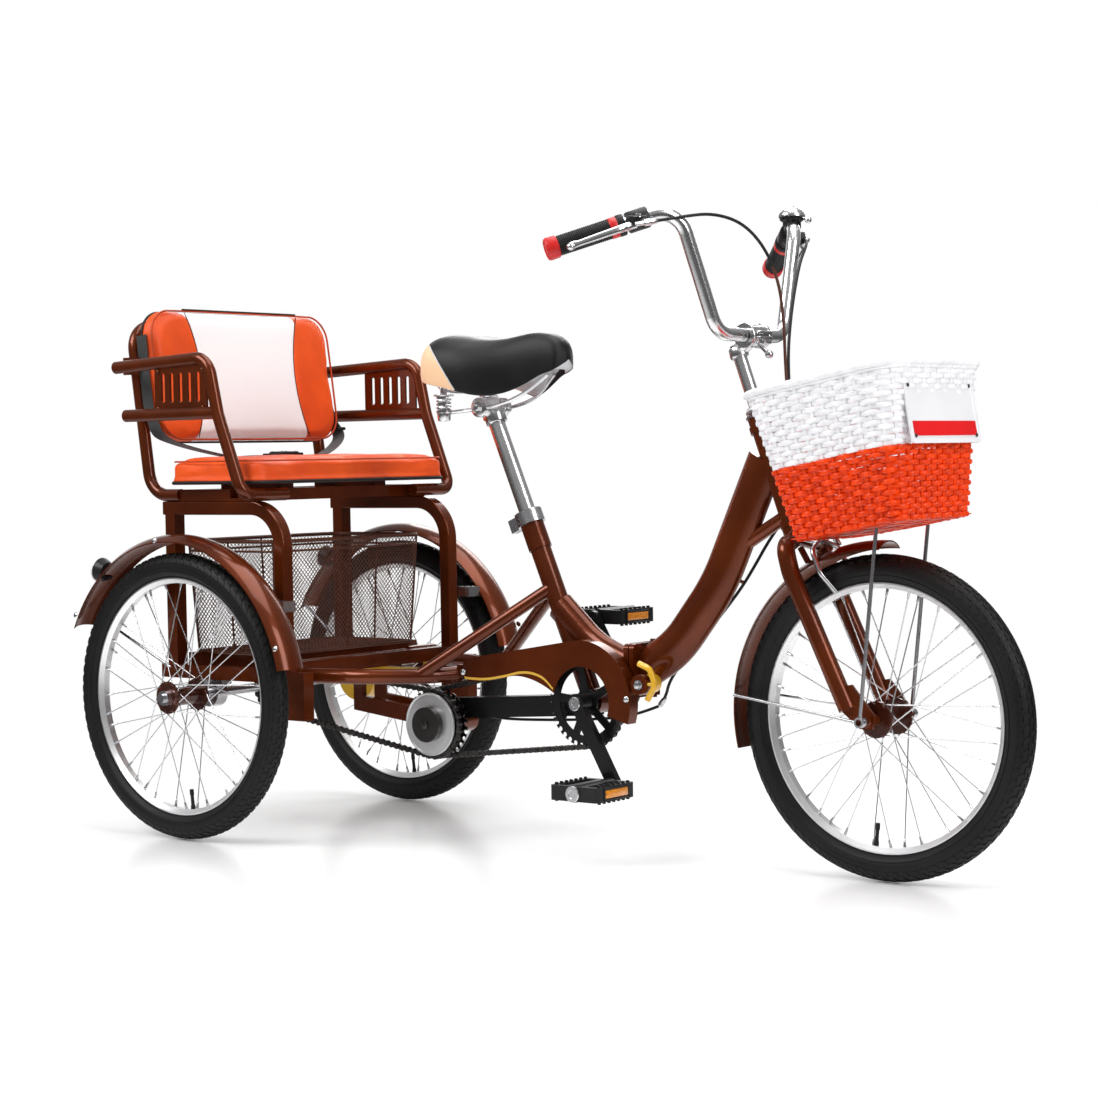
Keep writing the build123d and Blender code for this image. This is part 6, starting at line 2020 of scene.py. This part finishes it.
def make_fasteners():
    """Rivets of the armrests, bolts of the rear fenders and screws of the brake cover."""
    def place(body, name, model, spots, key="steel", slot="steel"):
        finish_piece(
            copies(
                name, model,
                [stand(at(*spot), up, AHEAD if abs(Vector(up).normalized().x) < 0.9 else UP) for spot, up in spots]
            ),
            body, key, slot, angle=35
        )

    arm, fender = [], []
    for side, out in ((-1, -LEFT), (1, LEFT)):
        arm += [((x, side * 272.5, z), out) for z in (750, 815) for x in (-61, 51)]
        for degrees in (20, 96, 150):
            turn = math.radians(degrees)
            fender.append(((276 * math.cos(turn), side * 318.2, 250 + 273 * math.sin(turn)), out))
    place("rear_body", "armrest_plate_rivets", dome_model(0.0042, 0.0024), arm, "paint", "paint")
    place("rear_body", "rear_fender_bolts", dome_model(0.0052, 0.0028), [(s, (0, u.y, 0.35)) for s, u in fender])
    cover = [((36 * math.cos(a), 193.0, 250 + 36 * math.sin(a)), LEFT) for a in (0.6, 2.7, 4.7)]
    place("rear_body", "brake_cover_screws", dome_model(0.0036, 0.002), cover)


def make_guard_disc_trim():
    """Raised rings, hub cap and nut on the chain guard disc."""
    spot = Vector((JACK.x, -0.0758, JACK.z))
    ring = spun("guard ring", spot, -LEFT, UP, 64)
    inner = spun("guard inner ring", spot, -LEFT, UP, 64)
    finish_piece(gather("guard_disc_rings", [ring, inner]), "jack_shaft", "alloy", "steel", angle=35)
    cap = spun("guard_disc_hub_cap", spot, -LEFT, UP, 48)
    finish_piece(cap, "jack_shaft", "rubber", "black_plastic", angle=35)
    nut = bolt_model(0.0072, 0.005, 6, 0.009)
    finish_piece(
        put("jackshaft_nut", nut, stand(spot - LEFT * 0.0084, -LEFT, UP)), "jack_shaft", "dark_steel", "steel",
        angle=35
    )


def make_latch_trim():
    """Dark turned barrel of the fold latch, with a bright pivot bolt."""
    low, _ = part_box("fold_latch")
    spot = Vector((at(816, 0, 0).x, low.y, 0.286))
    barrel = spun("fold_latch_barrel", spot, LEFT, UP, 48)
    finish_piece(barrel, "front_body", "paint", "paint", angle=35)
    bolt = bolt_model(0.0062, 0.0045, 6, 0.008)
    finish_piece(put("fold_latch_bolt", bolt, stand(spot, -LEFT, UP)), "front_body", "steel", "steel", angle=35)


# ---------------------------------------------------------------- panel values, operators and the sidebar panel
def colour_property(name, note, default):
    """Colour that the panel shows."""
    return bpy.props.FloatVectorProperty(
        name=name, description=note, subtype="COLOR", size=3, min=0, max=1, default=default
    )


class TricycleLook(bpy.types.PropertyGroup):
    """Colours, lights and camera of the tricycle."""

    paint_colour: colour_property("Paint", "Colour of the frame paint", (0.165, 0.03, 0.004))
    paint_shade: colour_property("Paint shade", "Darker flake in the frame paint", (0.08, 0.013, 0.002))
    seat_colour: colour_property("Seat", "Colour of the bench leather", (0.92, 0.11, 0.01))
    # The seat shade is also painted into the creases of the leather grain as shade, and is the colour of the orange
    # piping.
    seat_shade: colour_property("Seat shade", "Colour in the creases of the bench leather", (0.62, 0.062, 0.009))
    panel_colour: colour_property("Back panel", "Colour of the backrest's middle panel", (0.9, 0.9, 0.91))
    cane_top: colour_property("Upper cane", "Colour of the upper basket cane", (0.95, 0.95, 0.955))
    cane_foot: colour_property("Lower cane", "Colour of the lower basket cane", (0.98, 0.066, 0.002))
    fill_light: bpy.props.FloatProperty(
        name="Fill light", description="Strength of the soft surround", default=0.42, min=0
    )
    key_light: bpy.props.FloatProperty(
        name="Key light", description="Power of the main softbox, in watts", default=95.0, min=0
    )
    camera_yaw: bpy.props.FloatProperty(
        name="Camera yaw", description="Turn of the camera about the upright", subtype="ANGLE", default=0.674115
    )
    camera_pitch: bpy.props.FloatProperty(
        name="Camera pitch", description="How far the camera looks down", subtype="ANGLE", default=0.038301
    )
    camera_roll: bpy.props.FloatProperty(
        name="Camera roll", description="Roll of the camera about its own line", subtype="ANGLE", default=-0.017763
    )
    camera_place: bpy.props.FloatVectorProperty(
        name="Camera place", description="Place of the camera from the ground under the rear axle",
        subtype="TRANSLATION", size=3, unit="LENGTH", default=(3.1628, -3.2161, 0.656)
    )
    camera_lens: bpy.props.FloatProperty(
        name="Camera lens", description="Focal length in millimetres", default=80.44, min=10
    )


class PieceOperator:
    """What every piece operator shares."""

    bl_options = {"REGISTER", "UNDO"}

    def work(self, context):
        raise NotImplementedError

    def execute(self, context):
        drop_selection()
        self.work(context)
        drop_selection()
        return {"FINISHED"}


OPERATORS = []


def operator(idname, label, note, maker):
    """Operator class that runs one maker."""

    def work(self, context):
        maker(context.scene.tricycle_look)

    made = type(
        "TRICYCLE_OT_" + idname, (PieceOperator, bpy.types.Operator),
        {"bl_idname": "tricycle." + idname, "bl_label": label, "__doc__": note, "work": work},
    )
    OPERATORS.append(made)
    return made


STEPS = (
    (
        "finishes", "Build the finishes", "Builds every finish and gives it to the packed nodes",
        lambda look: (make_finishes(look), paint_nodes())
    ),
    ("wheels", "Wheels", "Treaded tyres, spoke nipples and valves", lambda look: make_wheels()),
    ("bench", "Bench cushion", "Stuffed bench cushion with piping", lambda look: make_bench_cushion()),
    ("backrest", "Backrest", "Stuffed backrest pad with a light middle panel", lambda look: make_backrest()),
    (
        "saddle", "Saddle", "Padded saddle on rails and coil springs",
        lambda look: (make_saddle(), make_saddle_frame())
    ),
    ("wicker", "Front basket", "Woven cane basket with a blank plate", lambda look: make_wicker_basket()),
    ("belt", "Lap belt", "Webbing belt with its buckle", lambda look: make_belt()),
    ("cables", "Brake cables", "Brake cables, end caps and guides", lambda look: make_cables()),
    (
        "chains", "Chains", "Roller chains and the guard disc's trim",
        lambda look: (make_chains(), make_guard_disc_trim())
    ),
    ("pedals", "Pedals", "Reflectors, treads and caps of the pedals", lambda look: make_pedal_trim()),
    (
        "bar", "Handlebar fittings", "Grips, brake levers, bell and stem clamp",
        lambda look: (make_grips(), make_levers(), make_bell(), make_bar_clamp())
    ),
    ("lamps", "Tail lamps", "Tail lamps with faceted lenses", lambda look: make_tail_lamps()),
    ("case", "Chaincase trim", "Stripe and bolts of the chaincase", lambda look: make_case_trim()),
    (
        "fasteners", "Fasteners", "Rivets, bolts and screws, and the fold latch's barrel",
        lambda look: (make_fasteners(), make_latch_trim())
    ),
    ("mesh", "Rear basket", "Diamond mesh basket under the bench", lambda look: make_mesh_basket()),
    (
        "stage", "Stage", "Floor, lights and camera",
        lambda look: (make_floor(), make_world(look), make_lamps(look), make_camera(look))
    )
)
for step in STEPS:
    operator(*step)


class TRICYCLE_PT_panel(bpy.types.Panel):
    """Sidebar panel that lists every piece."""

    bl_label = "Folding tricycle"
    bl_idname = "TRICYCLE_PT_panel"
    bl_space_type = "VIEW_3D"
    bl_region_type = "UI"
    bl_category = "Tricycle"

    def draw(self, context):
        look = context.scene.tricycle_look
        for name in TricycleLook.__annotations__:
            self.layout.prop(look, name)
        for made in OPERATORS:
            self.layout.operator(made.bl_idname)


def register():
    bpy.utils.register_class(TricycleLook)
    bpy.types.Scene.tricycle_look = bpy.props.PointerProperty(type=TricycleLook)
    for made in OPERATORS:
        bpy.utils.register_class(made)
    bpy.utils.register_class(TRICYCLE_PT_panel)


def unregister():
    bpy.utils.unregister_class(TRICYCLE_PT_panel)
    for made in reversed(OPERATORS):
        bpy.utils.unregister_class(made)
    del bpy.types.Scene.tricycle_look
    bpy.utils.unregister_class(TricycleLook)


def main():
    register()
    view = bpy.context.scene.view_settings
    view.view_transform = "Standard"
    for made in OPERATORS:
        getattr(bpy.ops.tricycle, made.bl_idname.split(".")[1])()


if __name__ == "__main__":
    main()
